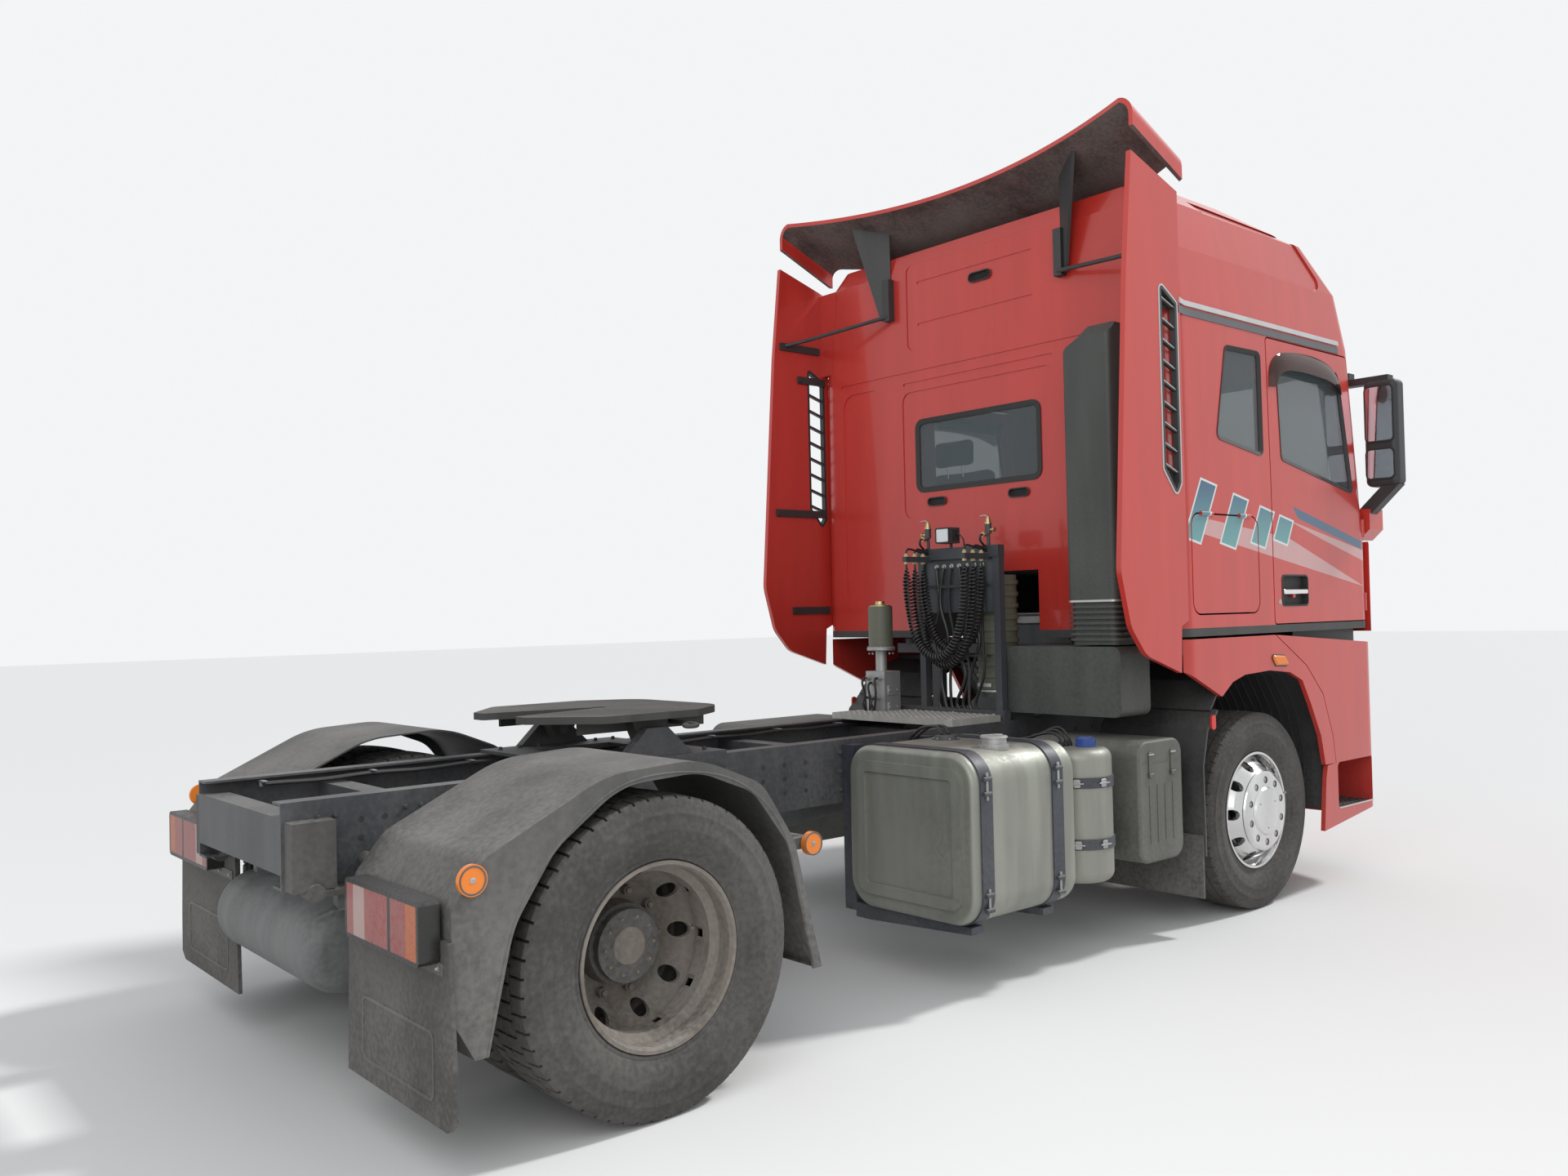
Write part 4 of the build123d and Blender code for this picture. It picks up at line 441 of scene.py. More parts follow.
class Lot:
    # shapes gathered into one mesh
    def __init__(self):
        self.points, self.faces = [], []

    def add(self, points, faces):
        base = len(self.points)
        self.points += [tuple(p) for p in points]
        self.faces += [[base + i for i in face] for face in faces]

    def rings(self, rings, capped=True):
        # a skin through rings of points, with or without a face at both ends
        count, last = len(rings[0]), len(rings) - 1
        faces = []
        for r in range(last):
            for i in range(count):
                j = (i + 1) % count
                faces.append([r * count + i, r * count + j, (r + 1) * count + j, (r + 1) * count + i])
        if capped:
            faces.append(list(range(count))[::-1])
            faces.append([last * count + i for i in range(count)])
        self.add([p for one in rings for p in one], faces)

    def lathe(self, place, axis, profile, count=24, start=0.0, capped=True):
        # profile: (distance along the axis, radius)
        u, v, w = basis(axis)
        place = Vector(place)
        rows = [[place + w * s + u * a + v * b for a, b in ring(r, count, start)] for s, r in profile]
        self.rings(rows, capped)

    def plate(self, outline, place, u, v, depth, edge=0.0):
        # outline in the plane of u and v, carried along u x v
        u, v = Vector(u), Vector(v)
        w = u.cross(v)
        place = Vector(place)
        levels = [(0, edge), (edge, 0), (depth - edge, 0), (depth, edge)] if edge else [(0, 0), (depth, 0)]
        rows = []
        for s, inset in levels:
            shape = insetOf(outline, inset) if inset else outline
            rows.append([place + w * s + u * a + v * b for a, b in shape])
        self.rings(rows)

    def block(self, low, high, radius=0.0, edge=0.0):
        low, high = Vector(low), Vector(high)
        size, mid = high - low, (low + high) / 2
        shape = [(size.x * a, size.y * b) for a, b in ((0.5, 0.5), (-0.5, 0.5), (-0.5, -0.5), (0.5, -0.5))]
        if radius:
            shape = roundedRect(size.x, size.y, radius, 3)
        self.plate(shape, (mid.x, mid.y, low.z), ahead, left, size.z, edge)

    def tube(self, path, radius, count=10):
        path = [Vector(p) for p in path]
        rows, u = [], None
        for i, p in enumerate(path):
            t = (path[min(i + 1, len(path) - 1)] - path[max(i - 1, 0)]).normalized()
            u = basis(t)[0] if u is None else (u - t * u.dot(t)).normalized()
            v = t.cross(u)
            r = radius[i] if isinstance(radius, list) else radius
            rows.append([p + u * a + v * b for a, b in ring(r, count)])
        self.rings(rows)

    def hose(self, start, moves, radius, parts=6, count=8):
        # a round line through points counted from its start
        self.tube(smoothPath([start + Vector(move) for move in moves], parts), radius, count)

    def loop(self, lay, *levels):
        # a band whose section runs through outlines, each laid at its own level
        self.rings([[lay(*p, level) for p in outline] for outline, level in levels], False)

    def slab(self, x, y, z, *rounding):
        # a block from its ends, x from the front axle and y in either order
        self.block(at(x[0], min(y), z[0]), at(x[1], max(y), z[1]), *rounding)

    def bolt(self, place, axis, size=0.012, height=0.008):
        # hexagon head on a washer
        self.lathe(place, axis, [(0, size * 0.75), (size * 0.14, size * 0.75)], 12)
        self.lathe(place, axis, [(size * 0.14, size * 0.55), (height * 0.85, size * 0.55),
                                 (height, size * 0.46)], 6)

    def mesh(self, name, material, angle=35):
        mesh = bpy.data.meshes.new(name)
        mesh.from_pydata(self.points, [], self.faces)
        mesh.materials.append(finish[material])
        mesh.shade_smooth()
        mesh.set_sharp_from_angle(angle=math.radians(angle))
        return mesh

    def piece(self, name, body, slotName, material, angle=35):
        obj = objectOf(name, self.mesh(name, material, angle))
        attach(obj, body)
        return obj


def smoothPath(points, steps=6):
    # a curve through the points
    points = [Vector(p) for p in points]
    full = [points[0]] + points + [points[-1]]
    path = []
    for a, b, c, d in zip(full, full[1:], full[2:], full[3:]):
        for i in range(steps):
            t = i / steps
            path.append(0.5 * (2 * b + (c - a) * t + (2 * a - 5 * b + 4 * c - d) * t * t
                               + (3 * b - 3 * c + d - a) * t ** 3))
    return path + [points[-1]]


def areaOf(outline):
    return sum(a[0] * b[1] - b[0] * a[1] for a, b in zip(outline, outline[1:] + outline[:1])) / 2


def grown(outline, amount):
    # the same outline moved outward, whichever way it runs
    return insetOf(outline, -amount if areaOf(outline) > 0 else amount)


def rounded(corners, radius, steps=4):
    # corners cut by arcs
    outline, count = [], len(corners)
    for i in range(count):
        p, a, b = Vector(corners[i]), Vector(corners[i - 1]), Vector(corners[(i + 1) % count])
        u, v = (a - p).normalized(), (b - p).normalized()
        half = math.acos(max(-1, min(1, u.dot(v)))) / 2
        reach = min(radius / math.tan(half), (a - p).length * 0.49, (b - p).length * 0.49)
        r = reach * math.tan(half)
        centre = p + (u + v).normalized() * (r / math.sin(half))
        start, end = p + u * reach - centre, p + v * reach - centre
        turn = start.angle_signed(end)
        for k in range(steps + 1):
            share = -turn * k / steps
            outline.append((centre.x + start.x * math.cos(share) - start.y * math.sin(share),
                            centre.y + start.x * math.sin(share) + start.y * math.cos(share)))
    return outline


def divided(outline, longest=0.08):
    # no side longer than a length, so that a strip can follow a curved skin
    result = []
    for a, b in zip(outline, outline[1:] + outline[:1]):
        parts = max(1, math.ceil(math.dist(a, b) / longest))
        result += [(a[0] + (b[0] - a[0]) * k / parts, a[1] + (b[1] - a[1]) * k / parts) for k in range(parts)]
    return result


cabSide = {"halfWidth": 1.235, "rearX": -0.800, "frontX": 1.300}


def skinOf(*members):
    points, faces = [], []
    for member in members:
        mesh, base = nodes[member].data, len(points)
        points += [v.co.copy() for v in mesh.vertices]
        faces += [[base + i for i in p.vertices] for p in mesh.polygons]
    return BVHTree.FromPolygons(points, faces)


def onSide(skin, sign):
    # lays points of the side view, x from the front axle, onto one side of the skin
    def lay(x, z, out=0.0):
        start = at(x, sign * 1.6, z)
        hit = skin.ray_cast(start, Vector((0, -sign, 0)))[0]
        return Vector((start.x, (hit.y if hit else sign * cabSide["halfWidth"]) + sign * out, z))
    return lay


def onBack(skin):
    def lay(y, z, out=0.0):
        hit = skin.ray_cast(at(-3.0, y, z), ahead)[0]
        return Vector(((hit.x if hit else frontAxle.x + cabSide["rearX"]) - out, y, z))
    return lay


def onFront(skin):
    def lay(y, z, out=0.0):
        hit = skin.ray_cast(at(3.0, y, z), -ahead)[0]
        return Vector(((hit.x if hit else frontAxle.x + cabSide["frontX"]) + out, y, z))
    return lay


def frame3(lot, outline, inner, outer, lay, low=0.0, high=0.005):
    # rubber or metal strip round an outline, laid on a skin
    wide, narrow = grown(outline, outer), grown(outline, -inner)
    lot.loop(lay, (wide, low), (wide, high), (narrow, high), (narrow, low), (wide, low))


def strip3(lot, path, width, lay, low=0.0, high=0.005):
    # flat strip that follows a path on a skin
    rows = []
    for p, a, b in zip(path, path[:1] + path, path[1:] + path[-1:]):
        n = Vector((a[1] - b[1], b[0] - a[0])).normalized() * width / 2
        one, two = Vector(p) + n, Vector(p) - n
        rows.append([lay(*one, low), lay(*one, high), lay(*two, high), lay(*two, low)])
    lot.rings(rows)


def panel3(lot, outline, lay, low=0.0, high=0.004, edge=0.003):
    # thin panel on a skin, with a small bevel
    levels = ((outline, low), (outline, high - edge), (grown(outline, -edge), high))
    lot.rings([[lay(*p, level) for p in shape] for shape, level in levels])


def between(a, b, count):
    return [tuple(a[k] + (b[k] - a[k]) * i / (count - 1) for k in range(len(a))) for i in range(count)]


def tint(member, material, choose):
    # another finish on the faces that a test picks
    mesh = nodes[member].data
    mesh.materials.append(finish[material])
    index = len(mesh.materials) - 1
    for face in mesh.polygons:
        if choose(face.center, face.normal):
            face.material_index = index


# Curly lines for the trailer: routes in metres from the front axle, helix worked out along them
curlyLines = {"x": (-1.175, -1.240, -1.305), "drop": (0.470, 0.540, 0.500), "leftY": 0.060, "rightY": -0.340,
              "socketZ": 1.830, "thick": 0.011, "coil": 0.0195, "pitch": 0.0170, "lead": 0.07}
curlyRows = [(1.0, 0), (1.0, 0.22), (0.93, 0.46), (0.80, 0.69), (0.58, 0.87), (0.30, 0.97)]


def curlyRoute(c, x, drop):
    middle, reach = (c["leftY"] + c["rightY"]) / 2, (c["leftY"] - c["rightY"]) / 2
    points = [at(x, middle + reach * a, c["socketZ"] - drop * b) for a, b in curlyRows]
    points.append(at(x, middle, c["socketZ"] - drop))
    return points + [at(x, middle - reach * a, c["socketZ"] - drop * b) for a, b in reversed(curlyRows)]


def curveOf(name, points, thick=0.0):
    curve = bpy.data.curves.new(name, "CURVE")
    curve.dimensions = "3D"
    spline = curve.splines.new("NURBS")
    spline.points.add(len(points) - 1)
    for target, p in zip(spline.points, points):
        target.co = (*p, 1)
    spline.order_u = 3
    spline.use_endpoint_u = True
    spline.resolution_u = 2 if thick else 12
    curve.bevel_depth = thick / 2
    curve.bevel_resolution = 2
    curve.use_fill_caps = bool(thick)
    return curve


def pathOf(curve):
    # points along the middle of a curve
    bare = curve.copy()
    bare.bevel_depth = 0
    probe = objectOf("probe", bare)
    mesh = bpy.data.meshes.new_from_object(probe.evaluated_get(bpy.context.evaluated_depsgraph_get()))
    bpy.data.objects.remove(probe)
    return [v.co.copy() for v in mesh.vertices]


def helixAlong(path, c):
    lengths = [0.0]
    for a, b in zip(path, path[1:]):
        lengths.append(lengths[-1] + (b - a).length)
    total = lengths[-1]
    turns = (total - 2 * c["lead"]) / c["pitch"]
    steps = int(turns * 12)
    points, index = [path[0].copy(), path[0].lerp(path[1], 0.5)], 0
    for i in range(steps + 1):
        s = c["lead"] / 2 + (total - c["lead"]) * i / steps
        while index < len(lengths) - 2 and lengths[index + 1] < s:
            index += 1
        share = (s - lengths[index]) / max(lengths[index + 1] - lengths[index], 1e-9)
        p = path[index].lerp(path[index + 1], share)
        t = (path[index + 1] - path[index]).normalized()
        u = ahead
        v = t.cross(u)
        ease = min(1.0, (s - c["lead"] / 2) / c["lead"], (total - c["lead"] / 2 - s) / c["lead"])
        r = c["coil"] * max(0.0, ease) ** 0.6
        angle = math.tau * turns * i / steps
        points.append(p + (u * math.cos(angle) + v * math.sin(angle)) * r)
    return points + [path[-1].lerp(path[-2], 0.5), path[-1].copy()]


def addCurlyLines(c):
    for number, (x, drop) in enumerate(zip(c["x"], c["drop"]), 1):
        points = helixAlong(pathOf(curveOf("route", curlyRoute(c, x, drop))), c)
        curve = curveOf(f"curly_line_{number}", points, c["thick"])
        curve.materials.append(finish["hoseRubber"])
        path = pathOf(curve)
        length = round(sum(math.dist(a, b) for a, b in zip(path, path[1:])), 2)
        print("curly line", number, "length", length)
        hose = objectOf(f"curly_line_{number}", curve)
        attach(hose, "chassis")
        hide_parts(f"hose_coil_{number}")
        tuple(points[0])


addCurlyLines(curlyLines)
print("curly lines hung")


# Tyres
tyre = {"pitches": 58, "grooveDepth": 0.013, "grooveWall": 0.0012, "halfTread": 0.131, "halfWidth": 0.1575,
        "crown": 0.004, "shoulder": 0.11, "steerEdges": (0.021, 0.029, 0.075, 0.083),
        "driveEdges": (0.004, 0.061, 0.070)}
sidewall = [(0.113, 0.290), (0.116, 0.300), (0.124, 0.303), (0.127, 0.309), (0.126, 0.316), (0.137, 0.331),
            (0.1475, 0.352), (0.1535, 0.373), (0.1565, 0.392), (0.1575, 0.396), (0.1575, 0.402),
            (0.1562, 0.406), (0.1555, 0.424), (0.1535, 0.442), (0.1545, 0.445), (0.1540, 0.451),
            (0.1515, 0.454), (0.1480, 0.470), (0.1440, 0.484), (0.1390, 0.494)]


def treadColumns(drive):
    # (across, row): three columns to a row of tread, two to a groove, whose row is None
    inner, half = tyre["driveEdges" if drive else "steerEdges"], tyre["halfTread"]
    edges = [-half, *(-y for y in reversed(inner)), *inner, half]
    columns = []
    for i, (a, b) in enumerate(zip(edges, edges[1:])):
        if i % 2:
            columns += [(a + tyre["grooveWall"], None), (b - tyre["grooveWall"], None)]
        else:
            columns += [(a, i // 2), ((a + b) / 2, i // 2), (b, i // 2)]
    return columns


def buildTyre(name, drive):
    columns = treadColumns(drive)
    rows = max(row for _, row in columns if row is not None)
    cuts = [0.0, 0.012, 0.16, 0.172, 0.5, 0.512, 0.66, 0.672] if drive else [0.0, 0.02, 0.07, 0.09]
    rings = []
    for pitch in range(tyre["pitches"]):
        for k, cut in enumerate(cuts):
            shape = [(-y, r) for y, r in sidewall]
            for across, row in columns:
                shoulder = row in (0, rows)
                if drive:
                    sunk = k in (1, 2) if shoulder else k in (5, 6)
                else:
                    sunk = k in (1, 2) and shoulder and abs(across) > tyre["shoulder"]
                crown = tyreRadius - tyre["crown"] * (across / tyre["halfTread"]) ** 2
                shape.append((across, crown - (tyre["grooveDepth"] if row is None or sunk else 0.0)))
            shape += reversed(sidewall)
            angle = math.tau * (pitch + cut) / tyre["pitches"]
            rings.append([Vector((math.sin(angle) * r, y, math.cos(angle) * r)) for y, r in shape])
    total, width = len(rings), len(rings[0])
    faces = []
    for i in range(total):
        for a, b in zip(range(i * width, (i + 1) * width - 1), range((i + 1) % total * width, total * width)):
            faces.append([a, a + 1, b + 1, b])
    lot = Lot()
    lot.add([p for one in rings for p in one], faces)
    return lot.mesh(name, "tyreRubber", 40)


def addTyres():
    meshes = {"front": buildTyre("steer_tyre", False), "rear": buildTyre("drive_tyre", True)}
    for side, sign in sides.items():
        front, rear, wheels = f"front_tyre_{side}", f"rear_tyres_{side}", f"rear_wheels_{side}"
        inner, outer = sorted(abs(corner.y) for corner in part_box(rear))
        places = [("front", 1, f"front_wheel_{side}", front, frontAxle.x, abs(middleOf(front).y)),
                  ("rear", 1, wheels, rear, rearAxle.x, outer - tyre["halfWidth"]),
                  ("rear", 2, wheels, rear, rearAxle.x, inner + tyre["halfWidth"])]
        for label, number, body, target, x, y in places:
            obj = objectOf(f"{label}_tread_{side}_{number}", meshes[label])
            obj.location = (x, sign * y, tyreRadius)
            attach(obj, body)
            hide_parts(target)


addTyres()
print("tyres made")


# Cab outside
cabSkin = skinOf("cab_sides", "door_right", "door_left", "hatch_right", "hatch_left", "cab_roof",
                 "cab_rear_wall", "cab_front", "cab_windows", "door_glass_right", "door_glass_left",
                 "side_fairings")
backSkin = skinOf("cab_rear_wall", "cab_roof", "cab_windows")
frontSkin = skinOf("cab_front", "cab_windows")
windows = {"door": [(0.185, 2.852), (0.205, 2.328), (1.001, 2.185), (0.890, 2.794), (0.860, 2.852)],
           "doorRound": 0.025, "side": [(-0.322, 2.862), (-0.433, 2.396), (0.005, 2.333), (0.012, 2.867)],
           "sideRound": 0.030, "rear": [(-0.435, 2.258), (-0.435, 2.660), (0.435, 2.660), (0.435, 2.258)],
           "rearRound": 0.045, "screen": [(-1.0, 2.215), (-1.05, 2.26), (-1.01, 2.945), (1.01, 2.945),
                                          (1.05, 2.26), (1.0, 2.215)], "screenRound": 0.06,
           "seal": (0.016, 0.007, 0.0035), "rearSeal": (0.020, 0.010, 0.006),
           "screenSeal": (0.030, 0.012, 0.004)}


def addSeal(name, body, outline, lay, inner, outer, rise):
    lot = Lot()
    frame3(lot, outline, inner, outer, lay, -0.001, rise)
    lot.piece(name, body, "seal_rubber", "sealRubber")


def addWindowSeals(w):
    for side, sign in sides.items():
        for kind, body in (("door", f"door_{side}"), ("side", "cab")):
            outline = divided(rounded(w[kind], w[kind + "Round"]))
            addSeal(f"{kind}_window_seal_{side}", body, outline, onSide(cabSkin, sign), *w["seal"])
    outline = divided(rounded(w["rear"], w["rearRound"]))
    addSeal("rear_window_seal", "cab", outline, onBack(backSkin), *w["rearSeal"])
    outline = divided(rounded(w["screen"], w["screenRound"]), 0.05)
    addSeal("windscreen_seal", "cab", outline, onFront(frontSkin), *w["screenSeal"])


addWindowSeals(windows)

gutter = {"x": (-0.768, 0.893), "band": (2.984, 0.036, 0.004), "strip": (3.024, 0.026, 0.009)}


def addGutter(g):
    for side, sign in sides.items():
        lay = onSide(cabSkin, sign)
        for name, material, slot in (("band", "bandGrey", "dark_plastic"),
                                     ("strip", "silverTrim", "bright_trim")):
            z, width, lift = g[name]
            lot = Lot()
            strip3(lot, between((g["x"][0], z), (g["x"][1], z), 24), width, lay, -0.001, lift)
            lot.piece(f"gutter_{name}_{side}", "cab", slot, material)


addGutter(gutter)

handle = {"x": (0.168, 0.441), "z": (1.560, 1.715), "round": 0.021, "depth": 0.0305, "wall": 0.0015,
          "lip": 0.007, "bar": (0.176, 0.434, 1.631, 0.024)}


def addDoorHandles(h):
    # black cup that lines the recess, the bright bar across it and the lock
    skin, back, (x0, x1, z, tall) = cabSide["halfWidth"], h["depth"], h["bar"]
    middle = ((h["x"][0] + h["x"][1]) / 2, (h["z"][0] + h["z"][1]) / 2)
    width, height = h["x"][1] - h["x"][0] - 0.001, h["z"][1] - h["z"][0] - 0.001
    outline = [(middle[0] + a, middle[1] + b) for a, b in roundedRect(width, height, h["round"])]
    inner, rim = grown(outline, -h["wall"]), grown(outline, h["lip"])
    levels = ((outline, back), (outline, -0.0005), (rim, -0.0005), (rim, -0.0022), (inner, -0.0035),
              (inner, back - h["wall"]))
    for side, sign in sides.items():
        cup, bar, lock = Lot(), Lot(), Lot()
        cup.rings([[at(x, sign * (skin - depth), z) for x, z in shape] for shape, depth in levels])
        cup.piece(f"handle_cup_{side}", f"door_{side}", "dark_plastic", "sealRubber")
        bar.plate(roundedRect(x1 - x0, tall, 0.009), at((x0 + x1) / 2, sign * (skin + 0.0065), z),
                  ahead * sign, up, 0.0075, 0.002)
        bar.piece(f"handle_bar_{side}", f"door_{side}", "bright_trim", "chrome")
        lock.lathe(at(x0 - 0.035, sign * (skin + 0.001), z - 0.055), (0, -sign, 0),
                   [(-0.0022, 0.006), (-0.0022, 0.0125), (0.001, 0.014)], 20)
        lock.piece(f"door_lock_{side}", f"door_{side}", "bright_trim", "castAlloy")


addDoorHandles(handle)

lamps = {"indicator": [(0.018, 1.306), (0.150, 1.298), (0.200, 1.246), (0.060, 1.252)],
         "reflector": (-0.566, 1.004)}


def addSideLamps(s):
    lowSkin = skinOf("arch_panels", "wheel_guards", "step_boxes")
    outline, (x, z) = rounded(s["indicator"], 0.012), s["reflector"]
    for side, sign in sides.items():
        base, lens, reflector = Lot(), Lot(), Lot()
        panel3(base, grown(outline, 0.007), onSide(lowSkin, sign), -0.001, 0.004)
        base.piece(f"indicator_base_{side}", "chassis", "dark_plastic", "sealRubber")
        panel3(lens, outline, onSide(lowSkin, sign), 0.003, 0.014, 0.008)
        lens.piece(f"side_indicator_{side}", "chassis", "amber_lens", "amberLens")
        reflector.plate(roundedRect(0.036, 0.070, 0.016), at(x, sign * 1.2395, z), ahead * sign, up, -0.010)
        reflector.piece(f"guard_reflector_{side}", "chassis", "red_lens", "reflector")


addSideLamps(lamps)

visor = {"top": [(0.100, 2.700), (0.120, 2.815), (0.210, 2.885), (0.400, 2.912), (0.640, 2.912),
                 (0.800, 2.880), (0.870, 2.815), (0.905, 2.740)],
         "bottom": [(0.140, 2.700), (0.165, 2.760), (0.250, 2.795), (0.420, 2.800), (0.620, 2.792),
                    (0.760, 2.775), (0.840, 2.750), (0.880, 2.730)], "skin": 1.2305, "bulge": 0.042,
         "wall": 0.003, "rows": 7}


def addWindowVisors(v):
    # smoked shield over the top of each door window, bulging outward from its upper edge
    top, bottom = ([(p.x, p.y) for p in smoothPath([(x, z, 0) for x, z in v[edge]], 4)]
                   for edge in ("top", "bottom"))
    rows, count = v["rows"], len(top)
    border = list(range(count)) + [k * count + count - 1 for k in range(1, rows)]
    border += [(rows - 1) * count + i for i in range(count - 2, -1, -1)]
    border += [k * count for k in range(rows - 2, 0, -1)]
    for side, sign in sides.items():
        outer = []
        for k in range(rows):
            share = k / (rows - 1)
            for i, (a, b) in enumerate(zip(top, bottom)):
                along = 0.35 + 0.65 * math.sin(math.pi * (0.06 + 0.88 * i / (count - 1)))
                y = v["skin"] + v["bulge"] * math.sin(share * math.pi / 2) ** 0.8 * along
                outer.append(at(a[0] + (b[0] - a[0]) * share, sign * y, a[1] + (b[1] - a[1]) * share))
        faces = []
        for k in range(rows - 1):
            for i in range(k * count, (k + 1) * count - 1):
                faces.append([i, i + 1, i + count + 1, i + count])
        base = len(outer)
        faces += [[base + i for i in reversed(f)] for f in faces]
        faces += [[b, a, base + a, base + b] for a, b in zip(border, border[1:] + border[:1])]
        lot = Lot()
        lot.add(outer + [p - left * sign * v["wall"] for p in outer], faces)
        lot.piece(f"window_visor_{side}", f"door_{side}", "dark_plastic", "smoked")


addWindowVisors(visor)

mirror = {"x": 1.150, "y": (1.252, 1.418), "main": (2.475, 2.800), "wide": (2.262, 2.440),
          "badge": (1.22, 1.42, 2.66)}


def addMirrorGlass(m):
    (y0, y1), (x, edge, z) = m["y"], m["badge"]
    for side, sign in sides.items():
        rims, glass = Lot(), Lot()
        for z0, z1 in (m["main"], m["wide"]):
            outline = roundedRect(y1 - y0, z1 - z0, 0.030)
            place = at(m["x"], sign * (y0 + y1) / 2, (z0 + z1) / 2)
            rims.plate(outline, place + ahead * 0.004, left, up, -0.013)
            glass.plate(insetOf(outline, 0.009), place - ahead * 0.0085, left, up, -0.003)
        rims.plate(roundedRect(0.050, 0.085, 0.012), at(x, sign * edge, z), ahead * sign, up, -0.0096)
        rims.piece(f"mirror_rims_{side}", "cab", "dark_plastic", "sealRubber")
        glass.piece(f"mirror_glass_{side}", "cab", "bright_trim", "mirrorGlass")


addMirrorGlass(mirror)

wall = {"slots": [(-0.290, 2.190, 0.130, 0.040), (0.290, 2.190, 0.130, 0.040),
                  (-0.060, 3.395, 0.150, 0.046)], "depth": 0.020}


def addWallVents(w):
    # dark grilles at the bottom of the pressed slots
    lot = Lot()
    for y, z, width, height in w["slots"]:
        x = cabSide["rearX"] + w["depth"]
        lot.plate(roundedRect(width - 0.002, height - 0.002, height * 0.47), at(x + 0.003, y, z), left, up,
                  -0.006)
        for k in (-1, 0, 1):
            bar = z + k * height * 0.26
            lot.slab((x - 0.012, x - 0.002), (y - width * 0.44, y + width * 0.44), (bar - 0.002, bar + 0.002))
        edge = roundedRect(width, height, height * 0.47)
        lot.loop(lambda a, b, out: at(cabSide["rearX"] - out, y + a, z + b), (edge, -0.008),
                 (grown(edge, 0.005), 0.004), (grown(edge, -0.002), 0.004), (grown(edge, -0.003), -0.008),
                 (edge, -0.008))
    lot.piece("wall_vents", "cab", "dark_plastic", "sealRubber")


addWallVents(wall)
print("cab outside dressed")


# Faces of the CAD pieces with a finish of their own
def tintPieces():
    wheel, rear = frontAxle.x, rearAxle.x
    tint("louvres", "cabRed", lambda c, n: c.x > wheel)
    # the deflector's down-facing faces take a dark red: painted shade under it
    tint("roof_deflector", "shadedUnderside", lambda c, n: n.z < -0.3)
    tint("rear_lamps", "amberLens", lambda c, n: c.x > wheel - 4.53)
    tint("tanks", "blueCap", lambda c, n: c.z > 0.946 and c.x > wheel - 1.45)
    tint("tanks", "castAlloy", lambda c, n: c.z > 1.003 and c.x < wheel - 1.5)
    tint("air_system", "castAlloy", lambda c, n: c.x > wheel - 1.4 and c.z < 1.375)
    tint("air_system", "oliveCan", lambda c, n: c.x > wheel - 1.4 and c.z >= 1.375)
    tint("air_cleaner", "oliveCan", lambda c, n: abs(c.y + 0.25) < 0.12 and c.z > 1.155)
    for side in sides:
        tint(f"rear_rims_{side}", "castIron", lambda c, n: math.hypot(c.x - rear, c.z - tyreRadius) < 0.13)
    tint("mirrors", "cabRed", lambda c, n: c.z < 2.112 and abs(c.y) > 1.10)


tintPieces()

tailLens = {"rearX": rearAxle.x - 0.755, "bar": (0.998, 1.022), "white": (0.752, 0.838), "amber": 1.120,
            "y": (0.707, 1.188), "z": (0.641, 0.789), "soft": 0.004, "whiteTone": (0.50, 0.46, 0.42),
            "amberTone": (0.55, 0.16, 0.02), "rim": (0.020, 0.019, 0.018)}


def addTailLens(material, t):
    # fields of the lens by their distance from the middle, with fine ribs, inside a dark rim
    tree = material.node_tree
    target = tree.nodes["Principled BSDF"].inputs["Base Color"]
    place = split(tree, coordsOf(tree))
    side, soft = math2(tree, "ABSOLUTE", place["Y"]), t["soft"]

    def field(value, low, high):
        return times(tree, ramp(tree, value, low, low + soft), ramp(tree, value, high, high - soft))

    colour = mixColour(tree, times(tree, field(side, *t["white"]), 0.5), target.links[0].from_socket,
                       t["whiteTone"])
    amber = ramp(tree, side, t["amber"], t["amber"] + soft)
    colour = mixColour(tree, times(tree, amber, 0.5), colour, t["amberTone"])
    lens = math2(tree, "SUBTRACT", 1.0, field(side, *t["bar"]))
    low, high = t["y"]
    lens = times(tree, lens, field(side, low - soft, high + soft))
    low, high = t["z"]
    lens = times(tree, lens, field(place["Z"], low - soft, high + soft))
    lens = times(tree, lens, ramp(tree, place["X"], t["rearX"], t["rearX"] - 0.003))
    link(tree, mixColour(tree, lens, t["rim"], colour), target)
    addBump(tree, math2(tree, "SINE", times(tree, side, 900.0)), 0.5, 0.001)


addTailLens(finish["redLens"], tailLens)
print("faces tinted")

# Chassis
railBolts = {"y": 0.430, "size": 0.013, "height": 0.011, "rows": (0.790, 0.872, 0.954),
             "groups": (-4.555, -4.260, -3.200, -2.250, -1.350, 1.190), "pitch": 0.055,
             "holes": [(-4.44, 0.93), (-4.36, 0.93), (-3.98, 0.93), (-3.86, 0.93), (-3.70, 0.90),
                       (-3.56, 0.93), (-2.72, 0.93), (-2.60, 0.93), (-2.48, 0.93), (-0.55, 0.93),
                       (-0.40, 0.93), (0.35, 0.93)]}


def addRailFasteners(r):
    bolts, holes = Lot(), Lot()
    for sign in sides.values():
        for x in r["groups"]:
            for z in r["rows"]:
                for shift in (-0.5, 0.5):
                    bolts.bolt(at(x + shift * r["pitch"], sign * (r["y"] - 0.0003), z), left * sign,
                               r["size"], r["height"])
        # each hole in the rail is a thin black disc on its face: painted shade for the dark inside of the
        # hole
        for x, z in r["holes"]:
            for k in range(3):
                holes.lathe(at(x, sign * (r["y"] - 0.0005), z - 0.06 * k), left * sign,
                            [(0, 0.0105), (0.0012, 0.0105)], 14)
    bolts.piece("rail_bolts", "chassis", "frame_paint", "framePaint")
    holes.piece("rail_hole_shade", "chassis", "frame_paint", "sealRubber")


addRailFasteners(railBolts)

